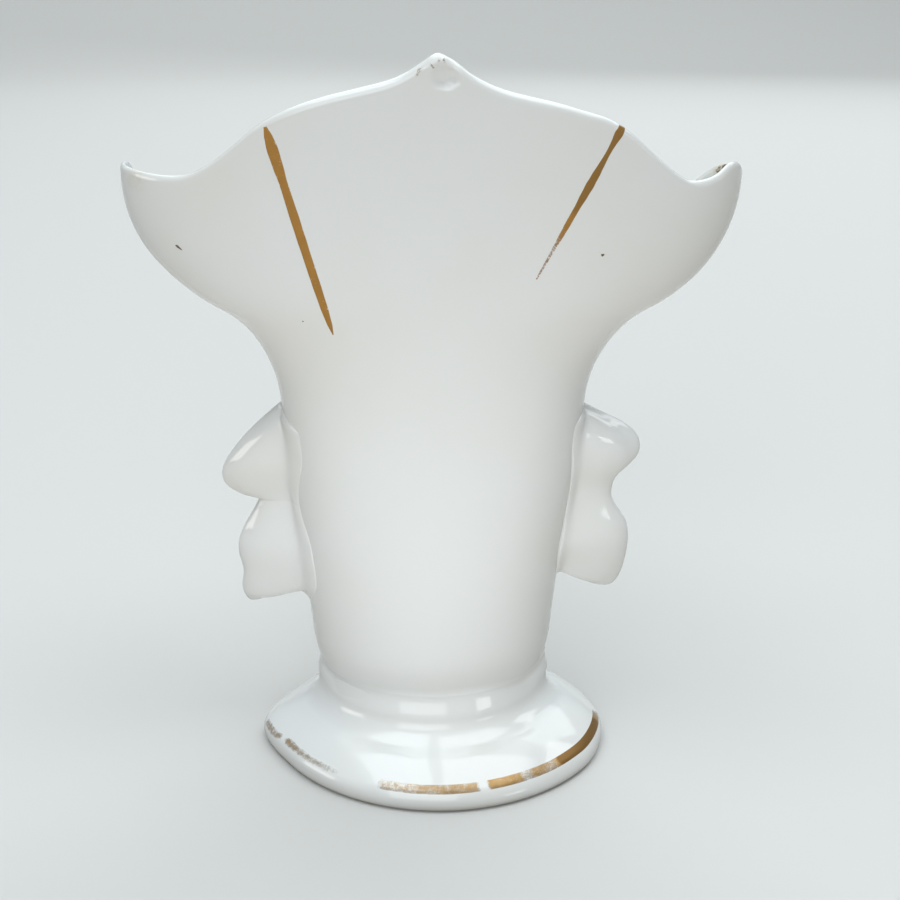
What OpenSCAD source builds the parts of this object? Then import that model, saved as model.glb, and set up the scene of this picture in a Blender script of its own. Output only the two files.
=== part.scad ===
// Spill vase in white glazed porcelain, seen from its plain side along +Y.
// Two press-moulded walls meet at the side seams and stand on a flared hollow foot,
// with a two-lobed lug luted over each seam and gilt brush strokes on the glaze.
// Millimetres, +Z up, origin on the table under the middle of the foot.

/* [Body] */
// Height of the rear wall's centre peak above the table
vase_h = 150; // [138:1:170]
// Width of the fan from ear tip to ear tip
fan_w = 121; // [110:0.2:132]
// Width of the body at the waist, where the fan starts to flare
waist_w = 62; // [56:1:68]
// Height of the waist above the table
waist_z = 80; // [76:0.5:84]
// Width of the body at the foot, before its bottom edge is tucked in
base_w = 50; // [47:0.2:54]
// Depth of the body at the waist, front to back
waist_d = 39; // [36:0.5:46]
// Depth of the mouth at its middle, front to back
mouth_d = 46; // [42:0.5:56]
// Radius of the hollow curve that turns the side out into the fan
flare_r = 24.5; // [20:0.5:28]
// Thickness of both walls
wall_t = 3.2; // [2.6:0.1:4]
// How far the bottom edge of the walls is tucked in
tuck_in = 1.4; // [1:0.1:2.2]
// Height over which the walls are tucked in
tuck_h = 8; // [4:0.5:12]
// Roundness of the plan at the base: 2 is an ellipse, less is more pointed
base_power = 1.85; // [1.7:0.05:2.2]
// Roundness of the plan from the waist up
fan_power = 2.2; // [1.9:0.05:2.6]
// Thickness of the bat that closes the bottom of the well
bat_t = 4; // [3:0.1:6]

/* [Rim] */
// Rounding of the centre peak
peak_r = 1.8; // [0.5:0.1:4]
// Slope of the rim just beside the peak
peak_slope = 0.76; // [0.5:0.02:0.9]
// Distance of the shoulders from the centre
shoulder_x = 32; // [28:0.5:36]
// How far the shoulders lie below the peak
shoulder_drop = 12.6; // [10:0.2:15]
// Slope of the rim at the shoulders
shoulder_slope = 0.6; // [0.4:0.02:0.8]
// Distance of the dips beside the ears from the centre
dip_x = 47.5; // [44:0.5:52]
// How far the dips lie below the peak
dip_drop = 22.8; // [22.6:0.2:24]
// How far the ear tips lie below the peak
ear_drop = 22; // [20:0.2:22.4]
// How far below the peak the sides of the ears stand upright
upright_drop = 24.6; // [24:0.2:28]
// Slope of the rim as it runs up into the ear tips
ear_slope = 0.7; // [0.1:0.05:1.2]
// How far the middle of the front wall's rim lies below the rear one's
front_drop = 7.5; // [0:0.5:10]
// How close to the ears the front rim stays low: a higher power runs up later
front_power = 12; // [4:1:16]

/* [Foot] */
// Width of the foot across its pointed sides
foot_w = 75.6; // [68:0.2:84]
// Depth of the foot, front to back
foot_d = 63; // [56:0.5:68]
// Height of the foot up to the joint with the body
foot_h = 19; // [17.5:0.5:24]
// Width of the foot's neck, where the body stands on it
neck_w = 49.6; // [46:0.2:51]
// Height of the straight collar at the top of the neck
collar_h = 2.4; // [0.5:0.1:3]
// Radius of the hollow curve under the collar
cove_r = 8; // [6:0.1:9]
// Radius of the foot's gently domed slope
dome_r = 29; // [20:1:50]
// Radius of the foot's rounded edge
edge_r = 4.2; // [4:0.1:5.5]
// Height at which the foot is widest
edge_z = 1.6; // [1.2:0.1:2.4]
// Thickness of the foot's wall
foot_t = 3.8; // [3:0.1:4]
// Width of the ledge round the top of the foot, which carries the body
ledge_w = 7; // [5.5:0.5:9]
// Thickness of that ledge
ledge_t = 4; // [3:0.5:6]
// How far the foot is turned on the body, clockwise from above, as it was luted on by hand
foot_turn = 2; // [0:0.5:6]

/* [Lugs] */
// Height of the upper end of both lugs above the table
lug_top_z = 77.6; // [72:0.2:80]
// Half the width of the low band under a lug's upper lobe
upper_band_half_w = 9; // [7.5:0.1:11]
// Half the width of the band at a lug's waist
notch_band_half_w = 5.8; // [4.5:0.1:7.5]
// Half the width of the band under a lug's lower lobe
lower_band_half_w = 7; // [6:0.1:9]
// Half the width of the band at the ends of a lug
end_band_half_w = 3.4; // [3.2:0.1:5]
// Height of the band above its feathered edge
band_h = 0.5; // [0.2:0.05:1]
// Reach of a lug at which its band has its full height
band_rise_h = 3; // [1:0.5:5]
// Half the thickness of a lug's upper lobe
upper_half_t = 5.6; // [4:0.1:7]
// Half the thickness of a lug at its waist
notch_half_t = 3.4; // [2.4:0.1:4]
// Half the thickness of a lug's lower lobe
lower_half_t = 4.9; // [3.6:0.1:5.6]
// Half the thickness of a lug's lobes at its ends
end_half_t = 2.2; // [1.6:0.1:3]
// Thickness of the feathered edge of the lugs
lug_edge_t = 0.4; // [0.2:0.05:0.8]
// Angle at which the left lug's upper end leaves the wall, out from straight down
left_end_turn = 42; // [30:1:55]
// Reach of the left lug's upper lobe from the wall
left_upper_reach = 13.6; // [11:0.1:17]
// Drop of the left lug's upper lobe below its upper end
left_upper_drop = 15.4; // [12:0.1:18]
// Reach of the left lug's waist from the wall
left_notch_reach = 7.4; // [5:0.1:9]
// Drop of the left lug's waist below its upper end
left_notch_drop = 20.8; // [19.6:0.1:24]
// Angle at which the upper lobe runs into the left lug's waist, in from straight down: over 0 for a cleft
left_notch_in_turn = 80; // [0:1:85]
// Angle at which the lower lobe leaves the left lug's waist, out from straight down
left_notch_out_turn = 28; // [0:1:60]
// Reach of the left lug's lower lobe from the wall
left_lower_reach = 12.6; // [10:0.1:16]
// Drop of the left lug's lower lobe below its upper end
left_lower_drop = 32; // [29:0.1:35]
// Reach of the left lug's toe from the wall
left_toe_reach = 11.6; // [9:0.1:14]
// Drop of the left lug's toe below its upper end
left_toe_drop = 44.2; // [41:0.1:47]
// Length of the left lug's root along the wall
left_root_len = 41.6; // [39:0.1:44]
// Angle at which the left lug's underside returns to the wall, in from straight down
left_under_turn = 80; // [65:1:90]
// Angle at which the right lug's upper end leaves the wall, out from straight down
right_end_turn = 62; // [48:1:72]
// Reach of the right lug's upper lobe from the wall
right_upper_reach = 12.9; // [10:0.1:16]
// Drop of the right lug's upper lobe below its upper end
right_upper_drop = 9.4; // [7:0.1:12]
// Reach of the right lug's waist from the wall
right_notch_reach = 8.3; // [6:0.1:10]
// Drop of the right lug's waist below its upper end
right_notch_drop = 18.8; // [16:0.1:22]
// Angle at which the upper lobe runs into the right lug's waist, in from straight down: over 0 for a cleft
right_notch_in_turn = 0; // [0:1:85]
// Angle at which the lower lobe leaves the right lug's waist, out from straight down
right_notch_out_turn = 0; // [0:1:60]
// Reach of the right lug's lower lobe from the wall
right_lower_reach = 13.4; // [10:0.1:16]
// Drop of the right lug's lower lobe below its upper end
right_lower_drop = 30.6; // [28:0.1:34]
// Reach of the right lug's toe from the wall
right_toe_reach = 9.6; // [7:0.1:12]
// Drop of the right lug's toe below its upper end
right_toe_drop = 41.4; // [38:0.1:44]
// Length of the right lug's root along the wall
right_root_len = 38; // [35:0.1:40]
// Angle at which the right lug's underside returns to the wall, in from straight down
right_under_turn = 70; // [58:1:90]

/* [Luted joints] */
// Thickness of the slip between the two walls at the side seams
seam_t = 0.4; // [0.2:0.1:0.8]
// Thickness of the slip between the body and the foot
foot_slip_t = 0.4; // [0.2:0.1:0.8]
// Thickness of the slip under the lugs
lug_slip_t = 0.3; // [0.2:0.05:0.6]
// Clearance between the bat and the walls
bat_gap = 0.1; // [0.05:0.05:0.2]

/* [Gilding] */
// Thickness of the gilt film
film_t = 0.12; // [0.08:0.02:0.2]
// Gap between the gilt film and the glaze
film_gap = 0.02; // [0.01:0.01:0.05]
// Widest part of a gilt stroke
stroke_w = 1.9; // [1:0.1:3]
// Width of a gilt stroke at its lower tip
stroke_tip_w = 0.3; // [0.2:0.1:0.8]
// Distance of the left strokes from the centre, at the rim
left_stroke_x = 31; // [24:0.5:36]
// Distance of the right strokes from the centre, at the rim
right_stroke_x = 34; // [24:0.5:36]
// Length of the left strokes, down from the rim
left_stroke_len = 40; // [30:1:46]
// Length of the right strokes, down from the rim
right_stroke_len = 30; // [22:1:40]
// Lean of the left strokes towards the middle, from upright
left_stroke_lean = 16; // [10:1:28]
// Lean of the right strokes towards the middle, from upright
right_stroke_lean = 25; // [10:1:28]
// Gap between the rim's top and the end of a stroke
stroke_gap = 1.6; // [1:0.1:4]
// Width of the gilt line round the foot, up from its rounded edge
line_w = 2.2; // [1:0.1:3]

/* [Hidden] */

PORCELAIN = [0.92, 0.93, 0.91];
SLIP = [0.86, 0.85, 0.81];
GILT = [0.66, 0.46, 0.18];
REAR = -1;
FRONT = 1;
LEFT = -1;
RIGHT = 1;

// Mesh steps: columns across one wall, then steps along and round the lugs and strokes
WALL_COLUMNS = 44;
TUCK_STEPS = 3;
TAPER_STEPS = 3;
ARC_STEPS = 7;
LIP_STEPS = 4;
LUG_KEY_STEPS = 5;
LUG_ROUND_STEPS = 12;
STROKE_STEPS = 14;
FOOT_ARC_STEPS = 5;
LINE_STEPS = 3;
SECTION_STEPS = 72;
TURN_FACETS = 96;

// Body: half sizes and heights
fan_a = fan_w / 2;
waist_a = waist_w / 2;
base_a = base_w / 2;
body_z = foot_h + foot_slip_t;
ear_z = vase_h - ear_drop;
upright_z = vase_h - upright_drop;
lip_r = wall_t / 2;

// Foot: the plan is a lens, where two circles of radius edge_R meet, centred lens_c off the middle
foot_a = foot_w / 2;
foot_b = foot_d / 2;
edge_R = (foot_a * foot_a + foot_b * foot_b) / (2 * foot_b);
lens_c = edge_R - foot_b;
neck_R = sqrt(neck_w * neck_w / 4 + lens_c * lens_c);

// Half depths: the base stands over the foot's neck as far as it does in width, and slip parts the walls
base_b = neck_R - lens_c + (base_w - neck_w - seam_t) / 2;
waist_b = (waist_d - seam_t) / 2;
mouth_b = (mouth_d - seam_t) / 2;
depth_slope = (waist_b - base_b) / (waist_z - body_z);
depth_bow = (mouth_b - waist_b - depth_slope * (vase_h - waist_z)) / pow(vase_h - waist_z, 2);

// Side outline: a straight taper, a hollow arc tangent to it at the waist, a full arc upright at the ear
taper = (waist_a - base_a) / (waist_z - body_z);
taper_len = sqrt(1 + taper * taper);
flare_x = waist_a + flare_r / taper_len;
flare_z = waist_z - flare_r * taper / taper_len;
flare_p = flare_x - fan_a;
flare_q = upright_z - flare_z;
ear_r = (flare_p * flare_p + flare_q * flare_q - flare_r * flare_r) / (2 * (flare_r - flare_p));
ear_x = fan_a - ear_r;
turn_sin = flare_q / (flare_r + ear_r);

// Half width of the side outline at height z, drawn in by an inset along its normal
function side_a(z, inset = 0) =
    let (waist_in_z = waist_z + inset * taper / taper_len,
         turn_z = flare_z + turn_sin * (flare_r + inset))
    z <= waist_in_z ? base_a + taper * (z - body_z) - inset * taper_len :
    z <= turn_z ? flare_x - sqrt(pow(flare_r + inset, 2) - pow(z - flare_z, 2)) :
    z <= upright_z ? ear_x + sqrt(pow(ear_r - inset, 2) - pow(z - upright_z, 2)) :
    fan_a - inset;

// Half depth of one wall at height z, drawn in by an inset
function depth_b(z, inset = 0) =
    let (up = z - waist_z)
    waist_b + depth_slope * up + (up > 0 ? depth_bow * up * up : 0) - inset;

// Roundness of the plan at height z
function plan_power(z) =
    let (t = min(1, max(0, (z - body_z) / (waist_z - body_z))))
    base_power + (fan_power - base_power) * t * t * (3 - 2 * t);

// Share of the half depth that is left at a share of the half width, or the reverse
function across(share, power) = pow(max(0, 1 - pow(min(1, abs(share)), power)), 1 / power);

// How far the tucked bottom edge draws the outside in at height z, along a quarter of an ellipse
function tuck(z) =
    let (t = max(0, 1 - (z - body_z) / tuck_h))
    tuck_in * (1 - sqrt(1 - t * t));

// Point of a wall's surface at height z and a share of the half width
function wall_point(side, share, z, inset = 0, draw = 0) = [
    share * (side_a(z, inset) - draw),
    side * (seam_t / 2 + across(share, plan_power(z)) * (depth_b(z, inset) - draw)),
    z
];

// Outer half width of the body at a distance y from the seam plane
function body_x(y, z) =
    side_a(z) * across(max(0, abs(y) - seam_t / 2) / depth_b(z), plan_power(z));

// Outer face of a wall at a place on its front view, raised by a lift
function face_point(side, x, z, lift) = [
    x,
    side * (seam_t / 2 + across(x / side_a(z), plan_power(z)) * depth_b(z) + lift),
    z
];

// Cubic from value v0 and slope s0 to v1 and s1 over a span, at a share t
function cubic(v0, s0, v1, s1, span, t) =
    v0 * (1 + 2 * t) * pow(1 - t, 2) + v1 * t * t * (3 - 2 * t)
    + span * (s0 * t * pow(1 - t, 2) - s1 * t * t * (1 - t));

// Height of the rim at a distance x from the centre: peak, shoulder, dip and ear
function rim_z(side, x) =
    let (shoulder_z = vase_h - shoulder_drop,
         dip_z = vase_h - dip_drop,
         fall = dip_x - shoulder_x,
         ear = sqrt(fan_a * fan_a + peak_r * peak_r) - peak_r,
         out = min(ear, sqrt(x * x + peak_r * peak_r) - peak_r),
         drop = side == FRONT ? front_drop * (1 - pow(min(1, abs(x) / fan_a), front_power)) : 0)
    -drop + (
        out < shoulder_x ?
            cubic(vase_h, -peak_slope, shoulder_z, -shoulder_slope, shoulder_x, out / shoulder_x) :
        out < dip_x ?
            cubic(shoulder_z, -shoulder_slope, dip_z, 0, fall, (out - shoulder_x) / fall) :
            cubic(dip_z, 0, ear_z, ear_slope, ear - dip_x, (out - dip_x) / (ear - dip_x))
    );

// Heights of the mesh rows below the waist, and shares of the way from the waist to the rim above it.
// The flat facets of the hollow arc stand out from the true curve by their sag.
base_rows = [for (i = [0 : TUCK_STEPS]) body_z + tuck_h * pow(i / TUCK_STEPS, 2)];
taper_z = body_z + tuck_h;
taper_rows = [for (i = [1 : TAPER_STEPS]) taper_z + (waist_z - taper_z) * i / TAPER_STEPS];
low_rows = concat(base_rows, taper_rows);
turn_angle = asin(turn_sin);
hollow_rows = [for (i = [1 : ARC_STEPS]) flare_z + flare_r * sin(turn_angle * i / ARC_STEPS)];
full_rows = [for (i = [1 : ARC_STEPS]) upright_z - ear_r * sin(turn_angle * (1 - i / ARC_STEPS))];
facet_sag = flare_r * (1 - cos(turn_angle / ARC_STEPS / 2));
fan_rows = [for (z = concat(hollow_rows, full_rows)) if (z > waist_z) z];
fan_shares = [for (z = fan_rows) (z - waist_z) / (upright_z - waist_z)];

// Heights of all mesh rows of a column whose rim is at top
function row_heights(top) =
    concat(low_rows, [for (t = fan_shares) waist_z + (top - lip_r - waist_z) * t]);

// Outline of a wall's cut at a share of the half width: up the outside, over the lip and down the inside
function wall_loop(side, share) =
    let (rows = row_heights(rim_z(side, share * fan_a)),
         last = len(rows) - 1,
         lip_out = wall_point(side, share, rows[last]),
         lip_in = wall_point(side, share, rows[last], wall_t))
    concat(
        [for (z = rows) wall_point(side, share, z, 0, tuck(z))],
        [for (i = [1 : LIP_STEPS - 1])
            let (a = 180 * i / LIP_STEPS, t = (1 - cos(a)) / 2)
            lip_out * (1 - t) + lip_in * t + [0, 0, lip_r * sin(a)]],
        [for (i = [last : -1 : 0]) wall_point(side, share, rows[i], wall_t)]
    );

// Triangles between closed loops of m points each, laid one after the other
function skin_faces(loops, m) = [
    for (i = [0 : loops - 2]) for (j = [0 : m - 1])
        let (k = (j + 1) % m, a = i * m + j, b = i * m + k, c = b + m, d = a + m)
        each [[a, b, c], [a, c, d]]
];

// Triangles that close one loop, as a strip between its two sides
function cap_faces(first, m, turned) = [
    for (j = [0 : floor(m / 2) - 1])
        let (a = first + j, b = a + 1, c = first + m - 2 - j, d = c + 1)
        for (f = [[a, b, c], [a, c, d]])
            if (f[0] != f[1] && f[1] != f[2] && f[0] != f[2]) turned ? [f[2], f[1], f[0]] : f
];

// Closed solid through loops of as many points each, taken backwards if they run the other way
module loft(loops, backwards = false) {
    m = len(loops[0]);
    last = len(loops) - 1;
    polyhedron(
        points = [for (i = [0 : last]) each loops[backwards ? last - i : i]],
        faces = concat(skin_faces(last + 1, m), cap_faces(0, m, true), cap_faces(last * m, m, false)));
}

// One press-moulded wall, from seam to seam
module wall(side) {
    shares = [for (i = [0 : WALL_COLUMNS]) side * sin(90 * (1 - 2 * i / WALL_COLUMNS))];
    loft([for (s = shares) wall_loop(side, s)]);
}

module rear_wall() { color(PORCELAIN) wall(REAR); }
module front_wall() { color(PORCELAIN) wall(FRONT); }

// Plan of the walls at height z, drawn in by an inset along the seam and across it
module plan(z, inset) {
    polygon([for (i = [0 : SECTION_STEPS - 1])
        let (a = 360 * i / SECTION_STEPS,
             share = sign(cos(a)) * pow(abs(cos(a)), 2 / plan_power(z)),
             p = wall_point(sin(a) < 0 ? REAR : FRONT, share, z, 0, inset))
        [p[0], p[1]]]);
}

// Bat that closes the bottom of the well, standing on the foot's ledge
module well_bat() {
    color(PORCELAIN)
        translate([0, 0, body_z]) linear_extrude(bat_t) plan(body_z, wall_t * taper_len + bat_gap);
}

// Foot outline: a cove, a dome and a rounded edge, tangent to one another, about these three centres
cove_c = [neck_R + cove_r, foot_h - collar_h];
edge_c = [edge_R - edge_r, edge_z];
cove_to_dome = cove_r + dome_r;
dome_to_edge = dome_r - edge_r;
chord = edge_c - cove_c;
chord_len = norm(chord);
chord_part = (pow(chord_len, 2) + pow(cove_to_dome, 2) - pow(dome_to_edge, 2)) / (2 * chord_len);
chord_off = sqrt(pow(cove_to_dome, 2) - pow(chord_part, 2));
dome_c = cove_c + (chord * chord_part + [chord[1], -chord[0]] * chord_off) / chord_len;
dome_top = atan2(cove_c[1] - dome_c[1], cove_c[0] - dome_c[0]);
dome_end = atan2(edge_c[1] - dome_c[1], edge_c[0] - dome_c[0]);

// Points of an arc about a centre, from one angle to another
function arc(centre, r, from, to, steps) =
    [for (i = [0 : steps]) let (a = from + (to - from) * i / steps) centre + r * [cos(a), sin(a)]];

// Foot outline from the collar down to the widest place, drawn in by an inset along its normal
function foot_outline(inset) = concat(
    arc(cove_c, cove_r + inset, 180, 180 + dome_top, FOOT_ARC_STEPS),
    arc(dome_c, dome_r - inset, dome_top, dome_end, FOOT_ARC_STEPS),
    arc(edge_c, edge_r - inset, dome_end, 0, FOOT_ARC_STEPS)
);

// Turns a profile into the lens plan: each side about its own axis, so that they meet at the tips
module lens_turn() {
    rotate([0, 0, -foot_turn])
        for (side = [REAR, FRONT])
            intersection() {
                translate([0, -side * lens_c, 0]) rotate_extrude($fn = TURN_FACETS) children();
                translate([-foot_w, side == REAR ? -2 * foot_w : 0, -foot_h])
                    cube([2 * foot_w, 2 * foot_w, 3 * foot_h]);
            }
}

// Hollow flared foot, open below and through the ledge that carries the body
module foot() {
    ledge_R = neck_R - ledge_w;
    ledge_z = foot_h - ledge_t;
    inside = [for (p = foot_outline(foot_t)) if (p[1] < ledge_z) p];
    last = len(inside) - 1;
    color(PORCELAIN) lens_turn()
        polygon(concat(
            [[ledge_R, foot_h], [neck_R, foot_h]],
            foot_outline(0),
            arc([edge_R - edge_z, edge_z], edge_z, 0, -90, FOOT_ARC_STEPS),
            [[edge_R - foot_t, 0]],
            [for (i = [last : -1 : 0]) inside[i]],
            [[inside[0][0], ledge_z], [ledge_R, ledge_z]]));
}

// Slip that joins the two walls along one side seam
module seam_slip(side) {
    loop = wall_loop(FRONT, side);
    rotate([90, 0, 0]) linear_extrude(seam_t, center = true)
        polygon([for (p = loop) [p[0], p[2]]]);
}

module left_seam_slip() { color(SLIP) seam_slip(LEFT); }
module right_seam_slip() { color(SLIP) seam_slip(RIGHT); }

// Slip between the foot's ledge and the walls and bat
module foot_slip() {
    color(SLIP)
        translate([0, 0, foot_h]) linear_extrude(foot_slip_t)
            difference() {
                plan(body_z, tuck_in);
                plan(body_z, ledge_w);
            }
}

// Lug outlines from the upper end down, where the waist comes twice, once for each lobe that meets there.
// Each key: reach from the wall, drop, heading out from straight down, half width of the band, half
// thickness of the lobe
left_keys = [
    [0, 0, left_end_turn, end_band_half_w, end_half_t],
    [left_upper_reach, left_upper_drop, 0, upper_band_half_w, upper_half_t],
    [left_notch_reach, left_notch_drop, -left_notch_in_turn, notch_band_half_w, notch_half_t],
    [left_notch_reach, left_notch_drop, left_notch_out_turn, notch_band_half_w, notch_half_t],
    [left_lower_reach, left_lower_drop, 0, lower_band_half_w, lower_half_t],
    [left_toe_reach, left_toe_drop, -90, lower_band_half_w, lower_half_t],
    [0, left_root_len, -left_under_turn, end_band_half_w, end_half_t]
];
right_keys = [
    [0, 0, right_end_turn, end_band_half_w, end_half_t],
    [right_upper_reach, right_upper_drop, 0, upper_band_half_w, upper_half_t],
    [right_notch_reach, right_notch_drop, -right_notch_in_turn, notch_band_half_w, notch_half_t],
    [right_notch_reach, right_notch_drop, right_notch_out_turn, notch_band_half_w, notch_half_t],
    [right_lower_reach, right_lower_drop, 0, lower_band_half_w, lower_half_t],
    [right_toe_reach, right_toe_drop, -90, lower_band_half_w, lower_half_t],
    [0, right_root_len, -right_under_turn, end_band_half_w, end_half_t]
];

// Where each key is rooted, as a share of the root's length down the wall
KEY_ROOTS = [0, 0.34, 0.5, 0.515, 0.74, 0.93, 1];

// Softness of the crease where a lobe runs out on its band, and how late the band rounds off to its edges
LUG_CREASE = 0.012;
BAND_EDGE_POWER = 6;

// Way from key k to the next at a share t: a quarter round at a lug's ends, and level at the other keys
function key_ease(keys, k, t) =
    k == 0 ? sin(90 * t) :
    k == len(keys) - 2 ? 1 - cos(90 * t) :
    t * t * (3 - 2 * t);

// Station of a lug at a share t from key k to the next: reach, drop, band, lobe and root drop
function lug_station(keys, k, t) =
    let (p = keys[k], q = keys[k + 1],
         span = norm([q[0] - p[0], q[1] - p[1]]),
         ease = key_ease(keys, k, t),
         root_len = keys[len(keys) - 1][1])
    [
        max(0, cubic(p[0], sin(p[2]), q[0], sin(q[2]), span, t)),
        cubic(p[1], cos(p[2]), q[1], cos(q[2]), span, t),
        p[3] + (q[3] - p[3]) * ease,
        p[4] + (q[4] - p[4]) * ease,
        root_len * (KEY_ROOTS[k] + (KEY_ROOTS[k + 1] - KEY_ROOTS[k]) * t)
    ];

// Steps from key k to the next: one across the waist, where both keys are at one place
function key_steps(keys, k) =
    keys[k][0] == keys[k + 1][0] && keys[k][1] == keys[k + 1][1] ? 1 : LUG_KEY_STEPS;

// All stations of a lug
function lug_stations(keys) = concat(
    [for (k = [0 : len(keys) - 2])
        for (i = [0 : key_steps(keys, k) - 1])
            lug_station(keys, k, i / key_steps(keys, k))],
    [lug_station(keys, len(keys) - 2, 1)]
);

// Share of a lobe's height at a share of its band's half width: half an ellipse that runs out softly
function lobe_share(s, share) =
    let (core = 1 - pow(share * s[2] / s[3], 2))
    min(1, sqrt((core + sqrt(core * core + LUG_CREASE)) / 2));

// Height of the band at a share of its half width: flat, with rounded edges, and lower where the lug ends
function band_height(s, share) =
    band_h * min(1, s[0] / band_rise_h) * sqrt(max(0, 1 - pow(share, BAND_EDGE_POWER)));

// Outer skin of a lug: across a station, from the band's rear edge over the lobe to its front edge
function lug_skin(side, s, share) =
    let (lobe = lobe_share(s, share),
         y = s[2] * share,
         z = lug_top_z - s[4] - (s[1] - s[4]) * lobe,
         height = norm([s[0] * lobe, band_height(s, share)]))
    [side * (body_x(y, z) + lug_slip_t + lug_edge_t + height), y, z];

// Seat of a lug: the wall under one station, raised by a lift
function lug_seat(side, s, share, lift) =
    let (y = s[2] * share, z = lug_top_z - s[4])
    [side * (body_x(y, z) + lift), y, z];

lug_shares = [for (i = [0 : LUG_ROUND_STEPS]) sin(90 * (2 * i / LUG_ROUND_STEPS - 1))];
lug_shares_back = [for (i = [LUG_ROUND_STEPS : -1 : 0]) lug_shares[i]];

// Lug on one side seam, lifted off the wall by the slip
module lug(side, keys) {
    loft([for (s = lug_stations(keys)) concat(
        [for (share = lug_shares) lug_skin(side, s, share)],
        [for (share = lug_shares_back) lug_seat(side, s, share, lug_slip_t)])], side == LEFT);
}

// Slip that holds the lug to the walls
module lug_slip(side, keys) {
    loft([for (s = lug_stations(keys)) concat(
        [for (share = lug_shares) lug_seat(side, s, share, lug_slip_t)],
        [for (share = lug_shares_back) lug_seat(side, s, share, 0)])], side == LEFT);
}

module left_lug() { color(PORCELAIN) lug(LEFT, left_keys); }
module right_lug() { color(PORCELAIN) lug(RIGHT, right_keys); }
module left_lug_slip() { color(SLIP) lug_slip(LEFT, left_keys); }
module right_lug_slip() { color(SLIP) lug_slip(RIGHT, right_keys); }

// Gilt brush stroke on one wall, from the rim at x_top down towards the middle, tapering to its tip
module stroke(side, x_top, lean, length) {
    inward = -sign(x_top);
    z_top = rim_z(side, x_top) - stroke_gap;
    under = film_gap + facet_sag;
    loft([for (i = [0 : STROKE_STEPS])
        let (t = i / STROKE_STEPS,
             half = (stroke_tip_w + (stroke_w - stroke_tip_w) * (1 - t * t)) / 2,
             x = x_top + inward * length * t * sin(lean),
             z = z_top - length * t * cos(lean),
             edge = [half * cos(lean), half * inward * sin(lean)])
        concat(
            [for (e = [-1, 0, 1]) face_point(side, x + e * edge[0], z + e * edge[1], under + film_t)],
            [for (e = [1, 0, -1]) face_point(side, x + e * edge[0], z + e * edge[1], under)])],
        side == FRONT);
}

module left_stroke(side) { stroke(side, -left_stroke_x, left_stroke_lean, left_stroke_len); }
module right_stroke(side) { stroke(side, right_stroke_x, right_stroke_lean, right_stroke_len); }

module rear_left_stroke() { color(GILT) left_stroke(REAR); }
module rear_right_stroke() { color(GILT) right_stroke(REAR); }
module front_left_stroke() { color(GILT) left_stroke(FRONT); }
module front_right_stroke() { color(GILT) right_stroke(FRONT); }

// Gilt line round the foot, a film on the dome just above the rounded edge
module foot_gilt_line() {
    line_top = dome_end + line_w / dome_r * 180 / PI;
    color(GILT) lens_turn()
        polygon(concat(
            arc(dome_c, dome_r + film_gap, dome_end, line_top, LINE_STEPS),
            arc(dome_c, dome_r + film_gap + film_t, line_top, dome_end, LINE_STEPS)));
}

rear_wall();
front_wall();
well_bat();
foot();
left_lug();
right_lug();
left_seam_slip();
right_seam_slip();
foot_slip();
left_lug_slip();
right_lug_slip();
rear_left_stroke();
rear_right_stroke();
front_left_stroke();
front_right_stroke();
foot_gilt_line();
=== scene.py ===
"""Looks of a fan-shaped spill vase in white glazed porcelain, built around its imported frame.

Every shape is a surface worked out in millimetres, in the frame's own axes: +Z up, +X to the right and the
photographed side of the vase towards -Y. Meshes are written in metres.
"""
import logging
import math
from dataclasses import dataclass, field
from enum import Enum
from typing import Union

import bpy
import numpy as np
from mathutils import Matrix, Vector


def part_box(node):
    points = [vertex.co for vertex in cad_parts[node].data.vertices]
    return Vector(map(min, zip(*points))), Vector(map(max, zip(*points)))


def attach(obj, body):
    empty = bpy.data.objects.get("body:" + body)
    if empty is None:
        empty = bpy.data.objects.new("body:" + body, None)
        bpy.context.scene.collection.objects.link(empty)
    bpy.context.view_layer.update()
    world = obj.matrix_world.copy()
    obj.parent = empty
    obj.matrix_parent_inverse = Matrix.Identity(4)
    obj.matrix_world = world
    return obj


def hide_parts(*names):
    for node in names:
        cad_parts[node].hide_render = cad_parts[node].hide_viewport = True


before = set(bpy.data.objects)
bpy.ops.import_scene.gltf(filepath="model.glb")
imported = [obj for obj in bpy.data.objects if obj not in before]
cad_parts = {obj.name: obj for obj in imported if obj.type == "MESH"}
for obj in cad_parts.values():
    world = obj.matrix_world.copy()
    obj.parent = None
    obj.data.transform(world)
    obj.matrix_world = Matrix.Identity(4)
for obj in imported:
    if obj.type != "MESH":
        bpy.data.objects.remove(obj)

LOG = logging.getLogger("spill_vase")
MM = 0.001
IMAGE_PX = 900.0
SENSOR_MM = 36.0
# How far a film of gilding, iron or glaze stands off what it lies on, in millimetres
PROUD = 0.008
# Points that agree to so many digits of a millimetre are one
WELD_DIGITS = 5

Values = np.ndarray | float
Colour = tuple[float, float, float]
Keys = tuple[tuple[float, ...], ...]
Material = bpy.types.Material
Socket = bpy.types.NodeSocket
Feed = Union[bpy.types.NodeSocket, float, Colour]


class Wall(Enum):
    """The two press-moulded walls, by the sign of Y."""

    REAR = -1
    FRONT = 1


class Side(Enum):
    """The two side seams, by the sign of X."""

    LEFT = -1
    RIGHT = 1


class Slot(Enum):
    """Material slots of the record."""

    PORCELAIN = "porcelain"
    SLIP = "slip"
    GILDING = "gilding"


def smooth(t: Values) -> np.ndarray:
    """Ease from 0 to 1 with level ends: 3t² - 2t³, held at its ends outside 0 to 1."""
    t = np.clip(t, 0.0, 1.0)
    return t * t * (3 - 2 * t)


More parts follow.
